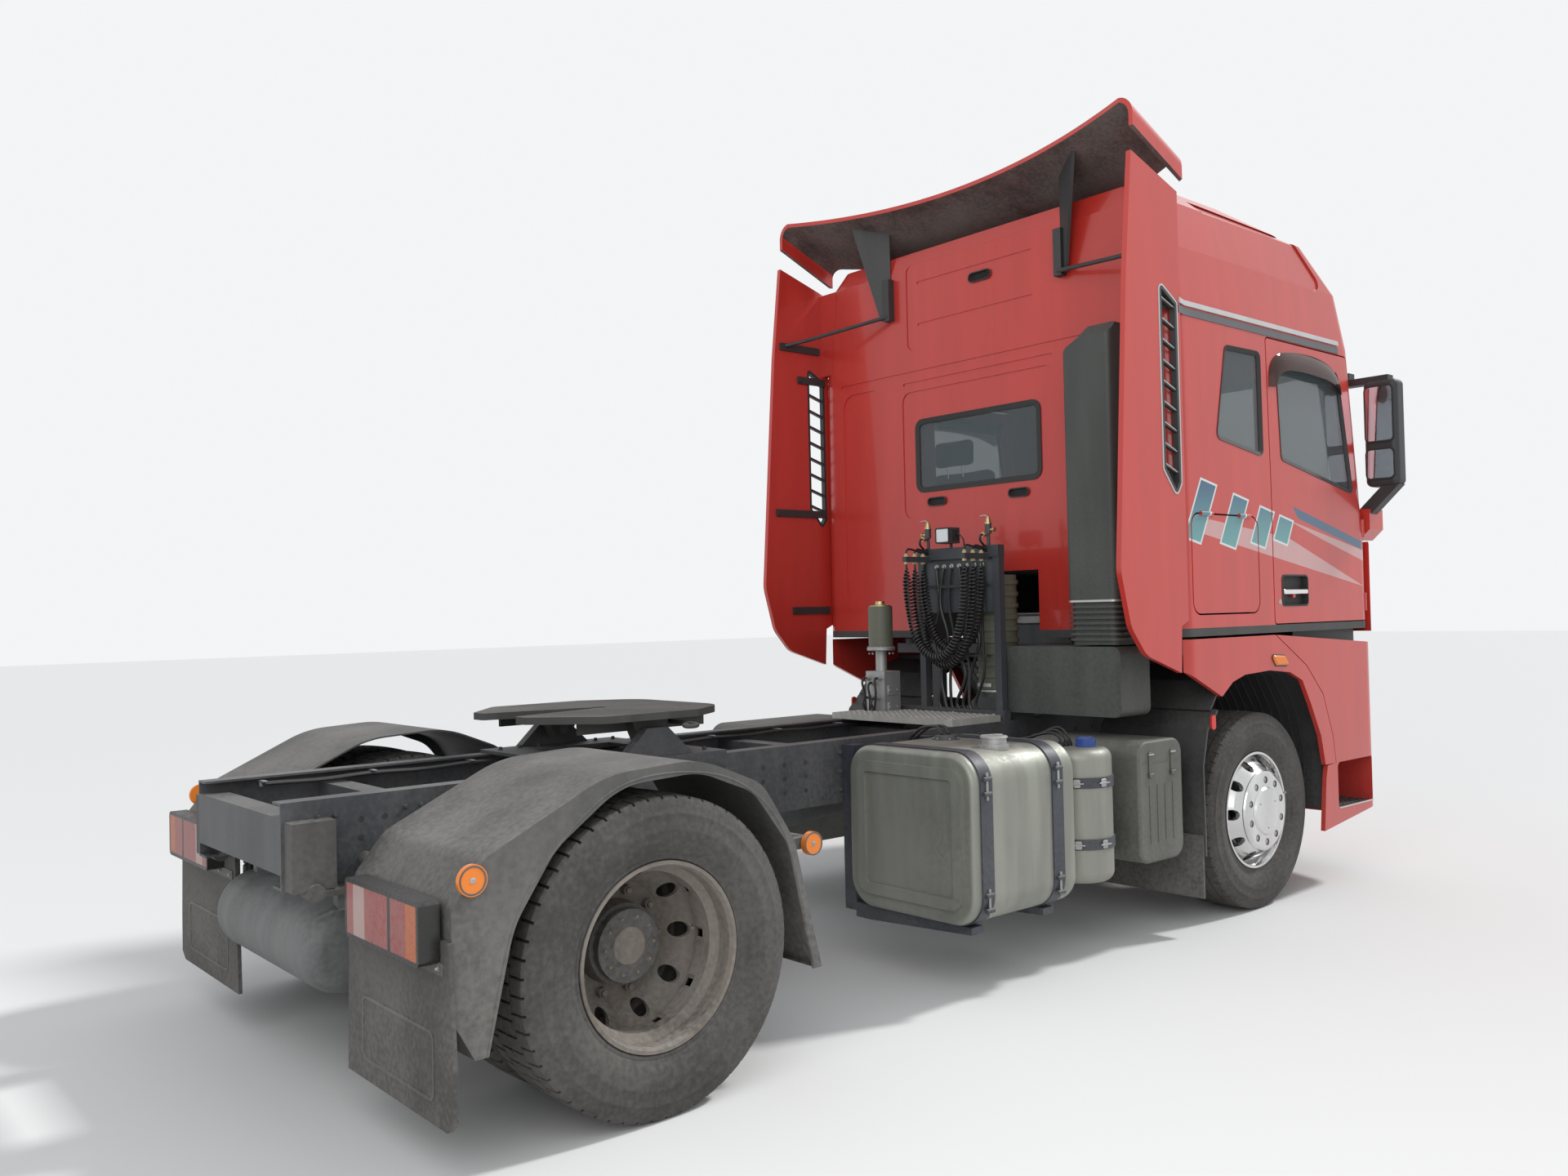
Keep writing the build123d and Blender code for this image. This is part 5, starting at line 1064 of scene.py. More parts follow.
looms = {"y": (0.325, 0.343), "z": 0.984, "thick": 0.0085, "x": (-4.50, -0.62), "parts": 60, "clips": 0.42,
         "sag": 0.006}


def addLooms(r):
    pipes, clips, (x0, x1), z = Lot(), Lot(), r["x"], r["z"]
    for sign in sides.values():
        for y, thick in zip(r["y"], (0.8, 1)):
            path = []
            for i in range(r["parts"] + 1):
                x = x0 + (x1 - x0) * i / r["parts"]
                sag = r["sag"] * 0.5 * (math.cos(math.tau * (x - x0) / r["clips"]) - 1)
                path.append(at(x, sign * y, z + sag))
            pipes.tube(path, r["thick"] * thick, 8)
        for k in range(math.ceil((x1 - x0) / r["clips"])):
            x = x0 + k * r["clips"]
            clips.slab((x - 0.008, x + 0.008), (sign * 0.312, sign * 0.375), (z + 0.0085, z + 0.0125))
            clips.slab((x - 0.008, x + 0.008), (sign * 0.3535, sign * 0.3565), (z - 0.011, z + 0.0125))
    pipes.piece("rail_looms", "chassis", "hose_rubber", "hoseRubber")
    clips.piece("loom_clips", "chassis", "bright_trim", "castAlloy")


addLooms(looms)

brakes = {"place": (0.115, 0.488, 0.478), "radius": 0.070,
          "drum": [(0, 0.45), (0.006, 0.85), (0.05, 1.0), (0.058, 1.0), (0.060, 1.10), (0.072, 1.10),
                   (0.074, 1.0), (0.115, 0.98), (0.135, 0.6), (0.137, 0.2)]}


def addBrakeChambers(b):
    drums, arms, hoses, (x, y, z) = Lot(), Lot(), Lot(), b["place"]
    for sign in sides.values():
        base = Vector((rearAxle.x + x, sign * y, z))
        drums.lathe(base, ahead, [(s, r * b["radius"]) for s, r in b["drum"]], 28)
        arms.lathe(base - ahead * 0.12, ahead, [(0, 0.011), (0.122, 0.011)], 12)
        lever = base + Vector((-0.118, -sign * 0.010 - 0.008, 0.030))
        arms.plate(roundedRect(0.05, 0.13, 0.022), lever, ahead, up, 0.016, 0.003)
        arms.block(base + Vector((-0.030, -0.035, -0.05)), base + Vector((0.002, 0.035, 0.065)), 0.01)
        for k, rise in enumerate((0.02, -0.03)):
            hoses.hose(base + Vector((0.136, 0, rise)), ((0, 0, 0), (0.06, 0, 0), (0.12, -sign * 0.03, 0.08),
                       (0.16, -sign * 0.105, 0.22 + 0.02 * k), (0.20, -sign * 0.125, 0.30)), 0.008)
    drums.piece("brake_chambers", "chassis", "frame_paint", "framePaint")
    arms.piece("brake_levers", "chassis", "bright_trim", "castIron")
    hoses.piece("brake_hoses", "chassis", "hose_rubber", "hoseRubber")


addBrakeChambers(brakes)

springBolts = {"front": (0.045, 0.393, 0.046, 0.470, 0.602), "rear": (0.052, 0.480, 0.046, 0.560, 0.726),
               "thick": 0.0075, "bend": ((0.85, 0.004), (1, 0.02)),
               "damper": ((0.105, 0.470, 0.520), (0.300, 0.448, 0.800))}


def addSpringBolts(s):
    # bent bolts over the springs at both axles, and the dampers in front
    bolts, dampers = Lot(), Lot()
    for centre, key in ((frontAxle, "front"), (rearAxle, "rear")):
        shift, y, half, low, high = s[key]
        over = [(1, low)] + [(a, high - drop) for a, drop in reversed(s["bend"])] + [(0.55, high)]
        over = [(-a, z) for a, z in over] + over[::-1]
        for sign in sides.values():
            for end in (-1, 1):
                path = [(centre.x + end * shift, sign * y + a * half, z) for a, z in over]
                bolts.tube(path, s["thick"], 8)
    for sign in sides.values():
        low, top = (at(x, sign * y, z) for x, y, z in s["damper"])
        long = (top - low).length
        dampers.lathe(low, top - low, [(0, 0.014), (0.03, 0.014), (0.031, 0.030), (0.20, 0.030),
                                       (0.201, 0.036), (long - 0.03, 0.036), (long - 0.028, 0.014),
                                       (long, 0.014)], 20)
    bolts.piece("spring_bolts", "chassis", "spring_steel", "castIron")
    dampers.piece("front_dampers", "chassis", "frame_paint", "framePaint")


addSpringBolts(springBolts)

# Fuel tank, urea tank and battery box
tank = {"face": -1.2235, "z": (0.310, 1.000), "cap": (-2.010, -1.085), "sender": (-1.90, -0.72, 0.9995),
        "drain": (-2.05, -0.86), "straps": (-2.225, -1.765)}


def addTankFittings(t):
    # filler cap with its chain, sender with two pipes, strap bolts and drain plug
    dark, bright, pipes = Lot(), Lot(), Lot()
    cap, sender, (low, high) = at(*t["cap"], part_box("tanks")[1].z), at(*t["sender"]), t["z"]
    bright.lathe(cap - up * 0.001, up, [(0, 0.058), (0.004, 0.058), (0.008, 0.053), (0.010, 0.030),
                                        (0.012, 0.012), (0.013, 0.0)], 32)
    for a, b in ring(0.052, 3):
        bright.tube([cap + up * 0.010, cap + Vector((a, b, 0.006))], 0.0045, 8)
    drop = 1.004 - cap.z
    bright.hose(cap, ((0.060, 0, -0.016), (0.085, 0.02, -0.030), (0.105, 0.05, drop),
                      (0.100, 0.10, drop - 0.001)), 0.003, 5, 6)
    dark.lathe(sender, up, [(0, 0.060), (0.005, 0.060), (0.0055, 0.050), (0.018, 0.048), (0.020, 0.040)], 28)
    for a, b in ring(0.0545, 6):
        bright.bolt(sender + Vector((a, b, 0.005)), up, 0.006, 0.005)
    for x, y in ((0.016, 0.0), (-0.016, 0.010)):
        pipes.hose(sender + Vector((x, y, 0.018)), ((0, 0, 0), (0, 0.004, 0.018), (0.02, 0.05, 0.036),
                                                    (0.05, 0.16, 0.022), (0.06, 0.235, -0.02),
                                                    (0.06, 0.262, -0.06)), 0.007, 5)
    for x in t["straps"]:
        for z in (high - 0.13, low + 0.10):
            place = at(x, t["face"], z)
            bright.tube([place - up * 0.045, place + up * 0.045], 0.0055, 8)
            for end in (-1, 1):
                bright.bolt(place + up * end * 0.045, up * end, 0.011, 0.010)
                dark.lathe(place + Vector((-0.022, 0, end * 0.030)), ahead, [(0, 0.010), (0.044, 0.010)], 12)
    dark.lathe(at(*t["drain"], low + 0.001), -up, [(0, 0.022), (0.010, 0.022), (0.012, 0.015),
                                                   (0.020, 0.013)], 6)
    dark.piece("tank_fittings", "chassis", "dark_plastic", "framePaint")
    bright.piece("tank_cap_parts", "chassis", "bright_trim", "castAlloy")
    pipes.piece("fuel_pipes", "chassis", "hose_rubber", "hoseRubber")


addTankFittings(tank)

urea = {"place": (-1.380, -1.040), "radius": 0.159, "bands": (0.528, 0.798), "cap": (-1.360, -1.075, 0.979)}


def addUreaFittings(u):
    cap, clamps, pipes = Lot(), Lot(), Lot()
    centre, lid = at(*u["place"], 0), at(*u["cap"])
    cap.lathe(lid - up * 0.001, up, [(0, 0.043), (0.004, 0.043), (0.006, 0.036), (0.012, 0.030),
                                     (0.013, 0.0)], 28)
    for a, b in ring(0.0445, 20):
        cap.tube([lid + Vector((a, b, -0.026)), lid + Vector((a, b, 0))], 0.0018, 5)
    for z in u["bands"]:
        for turn in (-100, -145):
            a = math.radians(turn)
            out = Vector((math.cos(a), math.sin(a), 0))
            place, along = centre + out * (u["radius"] + 0.001) + up * z, out.cross(up)
            clamps.plate(roundedRect(0.030, 0.036, 0.006), place, -along, up, 0.006, 0.0015)
            clamps.tube([place + out * 0.008 - along * 0.03, place + out * 0.008 + along * 0.03], 0.0035, 8)
    for k, x in enumerate((-0.035, 0.0, 0.030)):
        start = centre + Vector((x - 0.02, 0.045, 0.944))
        pipes.lathe(start, up, [(0, 0.013), (0.012, 0.013), (0.014, 0.010), (0.022, 0.010)], 14)
        pipes.hose(start, ((0, 0, 0.02), (0, 0.01, 0.045), (0, 0.07, 0.060 + 0.01 * k), (0, 0.24, 0.02),
                           (0, 0.50, -0.01), (0, 0.585, -0.06)), 0.0065)
    cap.piece("urea_cap", "chassis", "blue_cap", "blueCap")
    clamps.piece("urea_clamps", "chassis", "bright_trim", "castAlloy")
    pipes.piece("urea_pipes", "chassis", "hose_rubber", "hoseRubber")


addUreaFittings(urea)

battery = {"x": (-1.135, -0.775), "y": -1.200, "seam": 0.850, "latches": (-1.045, -0.865),
           "ribs": (4, 0.085, 0.615)}


def addBatteryLatches(b):
    lot, metal, (x0, x1), y, seam = Lot(), Lot(), b["x"], b["y"], b["seam"]
    for x in b["latches"]:
        lot.plate(roundedRect(0.026, 0.120, 0.008), at(x, y + 0.0005, seam - 0.010), ahead, up, 0.0065, 0.002)
        lot.plate(roundedRect(0.040, 0.022, 0.008), at(x, y - 0.005, seam - 0.058), ahead, up, 0.009, 0.003)
        metal.tube([at(x - 0.020, y - 0.0075, seam + 0.038), at(x + 0.020, y - 0.0075, seam + 0.038)],
                   0.004, 8)
    lot.slab((x0 + 0.030, x1 - 0.030), (y + 0.001, y - 0.0015), (seam - 0.002, seam + 0.002))
    count, inset, z = b["ribs"]
    for x, in between((x0 + inset,), (x1 - inset,), count):
        lot.plate(roundedRect(0.012, 0.270, 0.0055), at(x, y + 0.0008, z), ahead, up, 0.0035, 0.0012)
    lot.piece("battery_latches", "chassis", "dark_plastic", "boxPlastic")
    metal.piece("battery_wires", "chassis", "bright_trim", "castAlloy")


addBatteryLatches(battery)

exhaust = {"x": (-1.630, -0.990), "y": 1.205, "rows": 7, "columns": 15, "z": (0.505, 0.795), "shift": 0.011}


def addExhaustShield(e):
    lot, dark, (x0, x1), (z0, z1), y = Lot(), Lot(), e["x"], e["z"], e["y"]
    lot.plate(roundedRect(x1 - x0 + 0.04, 0.380, 0.04), at((x0 + x1) / 2, y - 0.001, (z0 + z1) / 2), -ahead,
              up, 0.005, 0.002)
    # the slots in the shield are thin black patches on its face: painted shade for the dark behind the
    # openings
    for i in range(e["columns"]):
        for j in range(e["rows"]):
            x = x0 + 0.03 + (x1 - x0 - 0.06) * i / (e["columns"] - 1) + e["shift"] * (1 if j % 2 else -1)
            z = z0 + (z1 - z0) * j / (e["rows"] - 1)
            dark.plate(roundedRect(0.030, 0.012, 0.0058, 2), at(x, y + 0.0042, z), -ahead, up, 0.001)
    for x in (x0, x1):
        for z in (z0 - 0.015, z1 + 0.015):
            lot.bolt(at(x, y + 0.004, z), left, 0.010, 0.008)
    lot.piece("exhaust_shield", "chassis", "bright_trim", "castAlloy")
    dark.piece("exhaust_slot_shade", "chassis", "dark_plastic", "sealRubber")


addExhaustShield(exhaust)
print("chassis dressed")

# Behind the cab
deck = {"x": (-1.520, -1.160), "y": 0.425, "top": 1.042, "notch": (-1.325, 0.220), "pitch": (0.036, 0.041),
        "margin": 0.03, "stud": [(0, 0.0105), (0.0032, 0.00756), (0.004, 0.004725), (0.002, 0.00315)]}


def addDeckTread(d):
    lot, bolts, (x0, x1), (stepX, stepY) = Lot(), Lot(), d["x"], d["pitch"]
    rows, columns = int((x1 - x0 - d["margin"]) / stepX), int((2 * d["y"] - d["margin"]) / stepY)
    for i in range(rows + 1):
        for j in range(columns + 1):
            x, y = (x0 + x1) / 2 + (i - rows / 2) * stepX, (j - columns / 2) * stepY
            if x <= d["notch"][0] or y <= d["notch"][1]:
                lot.lathe(at(x, y, d["top"] - 0.0005), up, d["stud"], 10)
    for x in (x0 + 0.022, x1 - 0.022):
        for y in (-0.400, -0.130, 0.130):
            bolts.bolt(at(x, y, d["top"] - 0.0003), up, 0.011, 0.008)
    lot.piece("deck_tread", "chassis", "deck_aluminium", "deckAlloy")
    bolts.piece("deck_bolts", "chassis", "bright_trim", "castAlloy")


addDeckTread(deck)

stand = {"x": -1.110, "lamp": (-1.185, -0.090, 1.963, 0.096, 0.082), "valves": (0.080, -0.335),
         "valveZ": 2.009, "rise": 0.028, "hoses": (7, -0.300, 0.052), "bow": 0.030, "clips": (1.690, 1.330)}


def addWorkLamp(t, dark, lens, hoses):
    # rim, ribbed glass, cable and cooling fins
    x, y, z, wide, tall = t["lamp"]
    outer, inner = roundedRect(wide, tall, 0.010), roundedRect(wide - 0.014, tall - 0.014, 0.007)
    dark.loop(lambda a, b, out: at(x - out, y + a, z + b), (outer, -0.0005), (outer, 0.005), (inner, 0.005),
              (inner, 0.001))
    lens.plate(inner, at(x - 0.0030, y, z), left, up, 0.0028, 0.001)
    for k in range(5):
        edge = y - 0.036 + 0.016 * k
        lens.slab((x - 0.0042, x - 0.0028), (edge, edge + 0.008), (z - 0.030, z + 0.030))
    hoses.hose(at(x, y, z), ((0.045, -0.047, 0), (0.050, -0.070, 0.004), (0.062, -0.088, -0.025),
                             (0.070, -0.085, -0.064)), 0.004)
    for k in range(6):
        fin = x + 0.020 + 0.009 * k
        dark.slab((fin, fin + 0.004), (y - 0.051, y + 0.051), (z - 0.030, z + 0.030))


def addStandParts(t, c):
    brass, dark, lens, hoses, bright = Lot(), Lot(), Lot(), Lot(), Lot()
    addWorkLamp(t, dark, lens, hoses)
    for y in t["valves"]:
        base = at(t["x"], y, t["valveZ"])
        brass.lathe(base, up, [(0, 0.019), (0.010, 0.019), (0.012, 0.013), (0.026, 0.013), (0.028, 0.009),
                               (0.036, 0.009), (0.040, 0.005)], 14)
        brass.lathe(base - up * 0.055, -ahead, [(0.012, 0.010), (0.030, 0.010), (0.031, 0.014),
                                                (0.044, 0.014), (0.045, 0.008), (0.052, 0.008)], 6)
        brass.lathe(base - up * 0.030, left * (1 if y > 0 else -1),
                    [(0.012, 0.008), (0.034, 0.008), (0.036, 0.012), (0.043, 0.012)], 10)
        bright.hose(base, ((0, 0, 0.036), (-0.010, 0.012, 0.044), (-0.022, 0.034, 0.040)), 0.0035, 5)
        hoses.hose(base, ((-0.050, 0, -0.055), (-0.062, 0, -0.062), (-0.060, 0.004, -0.085),
                          (-0.030, 0.004, -0.112)), 0.006, 5)
    for x in c["x"]:
        for y in (c["leftY"], c["rightY"]):
            low, bend = at(x, y, c["socketZ"]), at(x, y, c["socketZ"] + t["rise"] + 0.014)
            brass.lathe(low + up * (t["rise"] - 0.001), up,
                        [(0, 0.012), (0.010, 0.012), (0.011, 0.008), (0.018, 0.008)], 6)
            brass.lathe(low + up * 0.0005, -up, [(0, 0.0075), (0, 0.0125), (0.012, 0.0125), (0.012, 0.0075),
                                                 (0, 0.0075)], 8, 0.0, False)
            back, rise = t["x"] - x, (x + 1.24) * 0.12
            hoses.hose(bend, ((0, 0, 0), (0.004, 0, 0.014), (0.030, 0, 0.026),
                              (back - 0.030, 0, 0.006 + rise), (back - 0.026, 0, -0.002)), 0.0055, 5)
    count, first, pitch = t["hoses"]
    for k in range(count):
        y, bow = first + pitch * k, t["bow"] * math.sin(k * 1.7)
        moves = ((-0.0035, y, 1.800), (-0.0200, y + bow * 0.3, 1.765), (-0.0225, y + bow, 1.600),
                 (-0.0220, y - bow, 1.420), (-0.0200, y + bow * 1.2, 1.240), (-0.0190, y * 0.8, 1.100),
                 (-0.0170, y * 0.8 - 0.01, 1.058))
        hoses.hose(at(t["x"], 0, 0), moves, 0.0080 + 0.0012 * (k % 2), 8)
        bright.lathe(at(-1.1128, y, 1.803), -ahead, [(0, 0.0135), (0.010, 0.0135), (0.012, 0.009),
                                                     (0.018, 0.009)], 6)
    for z in t["clips"]:
        dark.slab((-1.1440, -1.1420), (-0.335, 0.050), (z, z + 0.014))
        for y in (-0.335, 0.048):
            dark.slab((-1.1440, -1.1140), (y, y + 0.002), (z, z + 0.014))
    brass.piece("stand_fittings", "chassis", "brass_fitting", "brass")
    dark.piece("stand_clips", "chassis", "dark_plastic", "sealRubber")
    lens.piece("work_lamp_lens", "chassis", "bright_trim", "clearLens")
    hoses.piece("stand_hoses", "chassis", "hose_rubber", "hoseRubber")
    bright.piece("stand_couplings", "chassis", "bright_trim", "castAlloy")


addStandParts(stand, curlyLines)

dryer = {"place": (-1.235, 0.330), "lid": 1.602, "half": (0.060, 0.080), "bolts": 8,
         "ports": ((-0.045, 1.215), (0.0, 1.190), (0.040, 1.215), (-0.030, 1.110), (0.030, 1.110))}


def addDryerParts(d):
    metal, hoses, brass, (x, y), (halfX, halfY) = Lot(), Lot(), Lot(), d["place"], d["half"]
    brass.lathe(at(x, y, d["lid"] - 0.001), up, [(0, 0.058), (0.006, 0.058), (0.009, 0.030), (0.015, 0.026),
                                                 (0.028, 0.026), (0.030, 0.020)], 24)
    metal.lathe(at(x, y, 1.362), up, [(0, 0.0725), (0.004, 0.076), (0.016, 0.076), (0.020, 0.0725)], 32)
    for a, b in ring(0.064, d["bolts"]):
        metal.bolt(at(x + a, y + b, 1.3505), -up, 0.008, 0.009)
    for k, (shift, z) in enumerate(d["ports"]):
        place, side = at(x - halfX + 0.0005, y + shift, z), -0.3 * shift - 0.005
        metal.lathe(place, -ahead, [(0, 0.0165), (0.010, 0.0165), (0.011, 0.012), (0.020, 0.012)], 6)
        hoses.hose(place, ((-0.018, 0, 0), (-0.034, 0, 0), (-0.046 - 0.004 * k, -0.004, -0.022),
                           (-0.046, -0.012, -0.08), (-0.0405, side, 1.030 - z), (-0.0405, side, 0.985 - z)),
                   0.0065)
    for z in (1.060, 1.150):
        metal.plate(roundedRect(0.080, 0.055, 0.010), at(x, y - halfY + 0.0005, z), ahead, up, 0.006, 0.002)
        for shift in (-0.030, 0.030):
            metal.bolt(at(x + shift, y - halfY - 0.005, z), -left, 0.009, 0.007)
    metal.piece("dryer_fittings", "chassis", "bright_trim", "castAlloy")
    hoses.piece("dryer_hoses", "chassis", "hose_rubber", "hoseRubber")
    brass.piece("dryer_lid", "chassis", "brass_fitting", "brass")


addDryerParts(dryer)

duct = {"x": (-1.065, -0.835), "y": (-1.055, -0.775), "band": (1.597, 0.010), "round": 0.036,
        "riser": (-0.955, -0.250, 1.146)}


def addDuctBands(d):
    band, riser = Lot(), Lot()
    (x0, x1), (y0, y1), (z, tall) = d["x"], d["y"], d["band"]
    shape = roundedRect(x1 - x0, y1 - y0, d["round"], 6)
    outline = [(a + (x0 + x1) / 2, b + (y0 + y1) / 2) for a, b in shape]
    wide = grown(outline, 0.0055)
    band.loop(at, (outline, z), (wide, z), (wide, z + tall), (outline, z + tall), (outline, z))
    band.piece("duct_band", "cab", "bright_trim", "silverTrim")
    place = at(*d["riser"])
    riser.lathe(place, up, [(0, 0.103), (0, 0.1075), (0.010, 0.1075), (0.010, 0.103), (0, 0.103)], 40, 0.0,
                False)
    riser.plate(roundedRect(0.020, 0.090, 0.004), place + Vector((-0.1135, 0, 0.036)), up, left, 0.003, 0.001)
    riser.piece("riser_band", "chassis", "bright_trim", "silverTrim")


addDuctBands(duct)

louvre = {"outline": [(-0.928, 3.085), (-0.786, 3.004), (-0.786, 2.150), (-0.826, 2.092), (-0.928, 2.210)],
          "round": 0.020, "y": 1.243, "slats": (2.600, 0.098, 9), "slatX": (-0.905, -0.792)}


def addLouvreEdges(v):
    outline, (middle, pitch, count), (a, b) = rounded(v["outline"], v["round"]), v["slats"], v["slatX"]
    for side, sign in sides.items():
        lot, y = Lot(), sign * (v["y"] - 0.005)
        frame3(lot, outline, 0.003, 0.009, lambda x, z, out: at(x, sign * (v["y"] + out), z), -0.0005, 0.0028)
        for k in range(count):
            z = middle + (k - (count - 1) / 2) * pitch
            lot.tube([at(a, y, z + 0.0290), at(b, y, z - 0.0110)], 0.0028, 6)
        lot.piece(f"louvre_edges_{side}", "cab", "bright_trim", "silverTrim")


addLouvreEdges(louvre)

# Rear end
fender = {"y": 1.2435, "opening": [(-3.187, 0.360), (-3.290, 0.790), (-3.440, 0.985), (-3.660, 1.072),
                                   (-3.960, 1.060), (-4.190, 0.900), (-4.330, 0.700), (-4.418, 0.360)],
          "bead": 0.0045, "markers": ((-3.110, 1.1715, 0.760), (-4.462, 1.2585, 0.853)), "flapX": -4.536,
          "flapStrip": (0.596, 0.631), "flapY": (0.585, 1.225), "flapMark": (0.905, 0.330, 0.50, 0.20)}


def addFenderTrim(f):
    bead, bolts, strips, x = Lot(), Lot(), Lot(), f["flapX"]
    (y0, y1), (z0, z1), (markY, markZ, wide, tall) = f["flapY"], f["flapStrip"], f["flapMark"]
    outer = roundedRect(wide, tall, 0.03)
    inner = grown(outer, -0.010)
    for sign in sides.values():
        bead.tube(smoothPath([at(a, sign * f["y"], b) for a, b in f["opening"]], 8), f["bead"], 8)
        for a, b, c in f["markers"]:
            place = at(a, sign * b, c)
            bolts.lathe(place, left * sign, [(0, 0.009), (0.0015, 0.009), (0.003, 0.006), (0.0035, 0.002),
                                             (0.001, 0.0)], 14)
            bead.lathe(place, left * sign, [(-0.002, 0.040), (0.0015, 0.0415), (0.0025, 0.0375),
                                            (0.001, 0.036), (-0.002, 0.036)], 28, 0.0, False)
        strips.slab((x - 0.0035, x + 0.0005), (sign * y0, sign * y1), (z0, z1))
        for k in range(6):
            bolts.bolt(at(x - 0.003, sign * (y0 + 0.030 + 0.116 * k), (z0 + z1) / 2), -ahead, 0.010, 0.008)
        strips.loop(lambda a, b, out: at(x - out, sign * markY + a, markZ + b), (outer, -0.0005),
                    (outer, 0.002), (inner, 0.002), (inner, -0.0005))
    bead.piece("fender_beads", "chassis", "fender_plastic", "fenderPlastic")
    bolts.piece("rear_fasteners", "chassis", "bright_trim", "castAlloy")
    strips.piece("flap_strips", "chassis", "flap_rubber", "fenderPlastic")


addFenderTrim(fender)

coupling = {"handle": (-3.110, 0, 1.148), "thick": 0.009, "coils": 26,
            "coil": (0.017, -0.205, -0.0036, 0.0022), "bolts": (-3.240, 0.3415, 1.0237),
            "boltRow": (0.09775, 0.18975, 0.28175)}


def addCouplingParts(c):
    # pull handle with its spring, and the bolts of the base
    handle, bolts, place = Lot(), Lot(), at(*c["handle"])
    handle.hose(place, ((0, -0.200, 0), (0, -0.330, 0), (0, -0.470, -0.002), (-0.008, -0.512, -0.004),
                        (-0.032, -0.522, -0.006), (-0.054, -0.508, -0.006), (-0.050, -0.482, -0.004),
                        (-0.025, -0.470, -0.003)), c["thick"], 6, 10)
    radius, start, step, thick = c["coil"]
    turns = [k / 4 for k in range(4 * c["coils"] + 1)]
    coil = [place + Vector((radius * math.cos(math.tau * t), start + step * t,
                            radius * math.sin(math.tau * t))) for t in turns]
    for a, b in zip(coil, coil[1:]):
        handle.tube([a, b], thick, 5)
    handle.piece("coupling_handle", "coupling_plate", "bright_trim", "castIron")
    x, y, z = c["bolts"]
    for sign in sides.values():
        for shift in [-a for a in reversed(c["boltRow"])] + list(c["boltRow"]):
            bolts.bolt(at(x + shift, sign * y, z), up, 0.014, 0.013)
    bolts.piece("coupling_base_bolts", "chassis", "frame_paint", "castIron")


addCouplingParts(coupling)

hubs = {"nuts": (0.1585, 1.1925, 10), "nut": 0.0125, "capBolts": (0.085, 1.2097, 3),
        "valve": (0.232, 1.150, 0.3), "rearBolts": (0.094, 1.0295, 10), "rearBolt": 0.0105,
        "rearNuts": (0.1675, 0.9525, 10), "stem": ((0.262, 1.045, 0.030), (0.235, 1.060, 0.030),
                                                   (0.215, 1.085, 0.028))}


def addHubs(h):
    for side, sign in sides.items():
        def circle(centre, radius, y, count, start=0.0):
            return [centre + Vector((a, sign * y, b)) for a, b in ring(radius, count, start)]

        lot, out = Lot(), left * sign
        centre = Vector((frontAxle.x, 0, tyreRadius))
        for place in circle(centre, *h["nuts"], math.radians(18)):
            lot.lathe(place, out, [(-0.006, 0.0145), (-0.004, 0.0145)], 14)
            lot.lathe(place, out, [(-0.004, h["nut"]), (0.004, h["nut"]), (0.006, h["nut"] * 0.7)], 6)
        for place in circle(centre, *h["capBolts"], math.radians(30)):
            lot.bolt(place, out, 0.006, 0.004)
        radius, y, turn = h["valve"]
        place = circle(centre, radius, y, 1, turn)[0]
        lot.lathe(place, out, [(-0.02, 0.004), (0.030, 0.004), (0.031, 0.0055), (0.042, 0.0055),
                               (0.043, 0.004)], 10)
        lot.piece(f"front_hub_nuts_{side}", f"front_wheel_{side}", "bright_trim", "castAlloy")
        lot = Lot()
        centre = Vector((rearAxle.x, 0, tyreRadius))
        for place in circle(centre, *h["rearBolts"]):
            lot.bolt(place, out, h["rearBolt"], 0.009)
        middle = centre + out * h["rearBolts"][1]
        lot.lathe(middle, out, [(0, 0.062), (0.003, 0.060), (0.004, 0.030), (0.002, 0.028), (0.002, 0.0)], 32)
        for place in circle(centre, *h["rearNuts"]):
            lot.lathe(place, out, [(0, 0.011), (0.010, 0.011), (0.012, 0.009)], 12)
        lot.hose(centre, [(x, sign * y, z) for x, y, z in h["stem"]], 0.004, 5)
        lot.piece(f"rear_hub_bolts_{side}", f"rear_wheels_{side}", "bright_trim", "dustyRim")


addHubs(hubs)
print("rear and wheels dressed")

# Front
front = {"lidX": (1.4120, 1.4165), "slotX": (1.424, 1.4354), "half": 0.556, "slots": (1.610, 0.064, 7),
         "meshZ": (1.392, 1.828), "meshPitch": 0.0265, "plate": (0.520, 0.112, 0.656, 1.4335),
         "vane": (1.212, 1.425, 1.895), "bulbs": ((0.860, 0.062), (1.005, 0.055)), "bulbZ": 0.935,
         "strip": ((0.785, 0.830), (1.120, 0.838))}


def addFrontPlate(f):
    lot, (wide, tall, z, x) = Lot(), f["plate"]
    outer = roundedRect(wide - 0.006, tall - 0.006, 0.006)
    inner = grown(outer, -0.005)
    lot.plate(roundedRect(wide, tall, 0.008), at(x, 0, z), left, up, 0.0035, 0.001)
    lot.loop(lambda a, b, out: at(x + out, a, z + b), (outer, 0.003), (outer, 0.0055), (inner, 0.0055),
             (inner, 0.003))
    lot.piece("front_plate", "chassis", "bright_trim", "silverTrim")


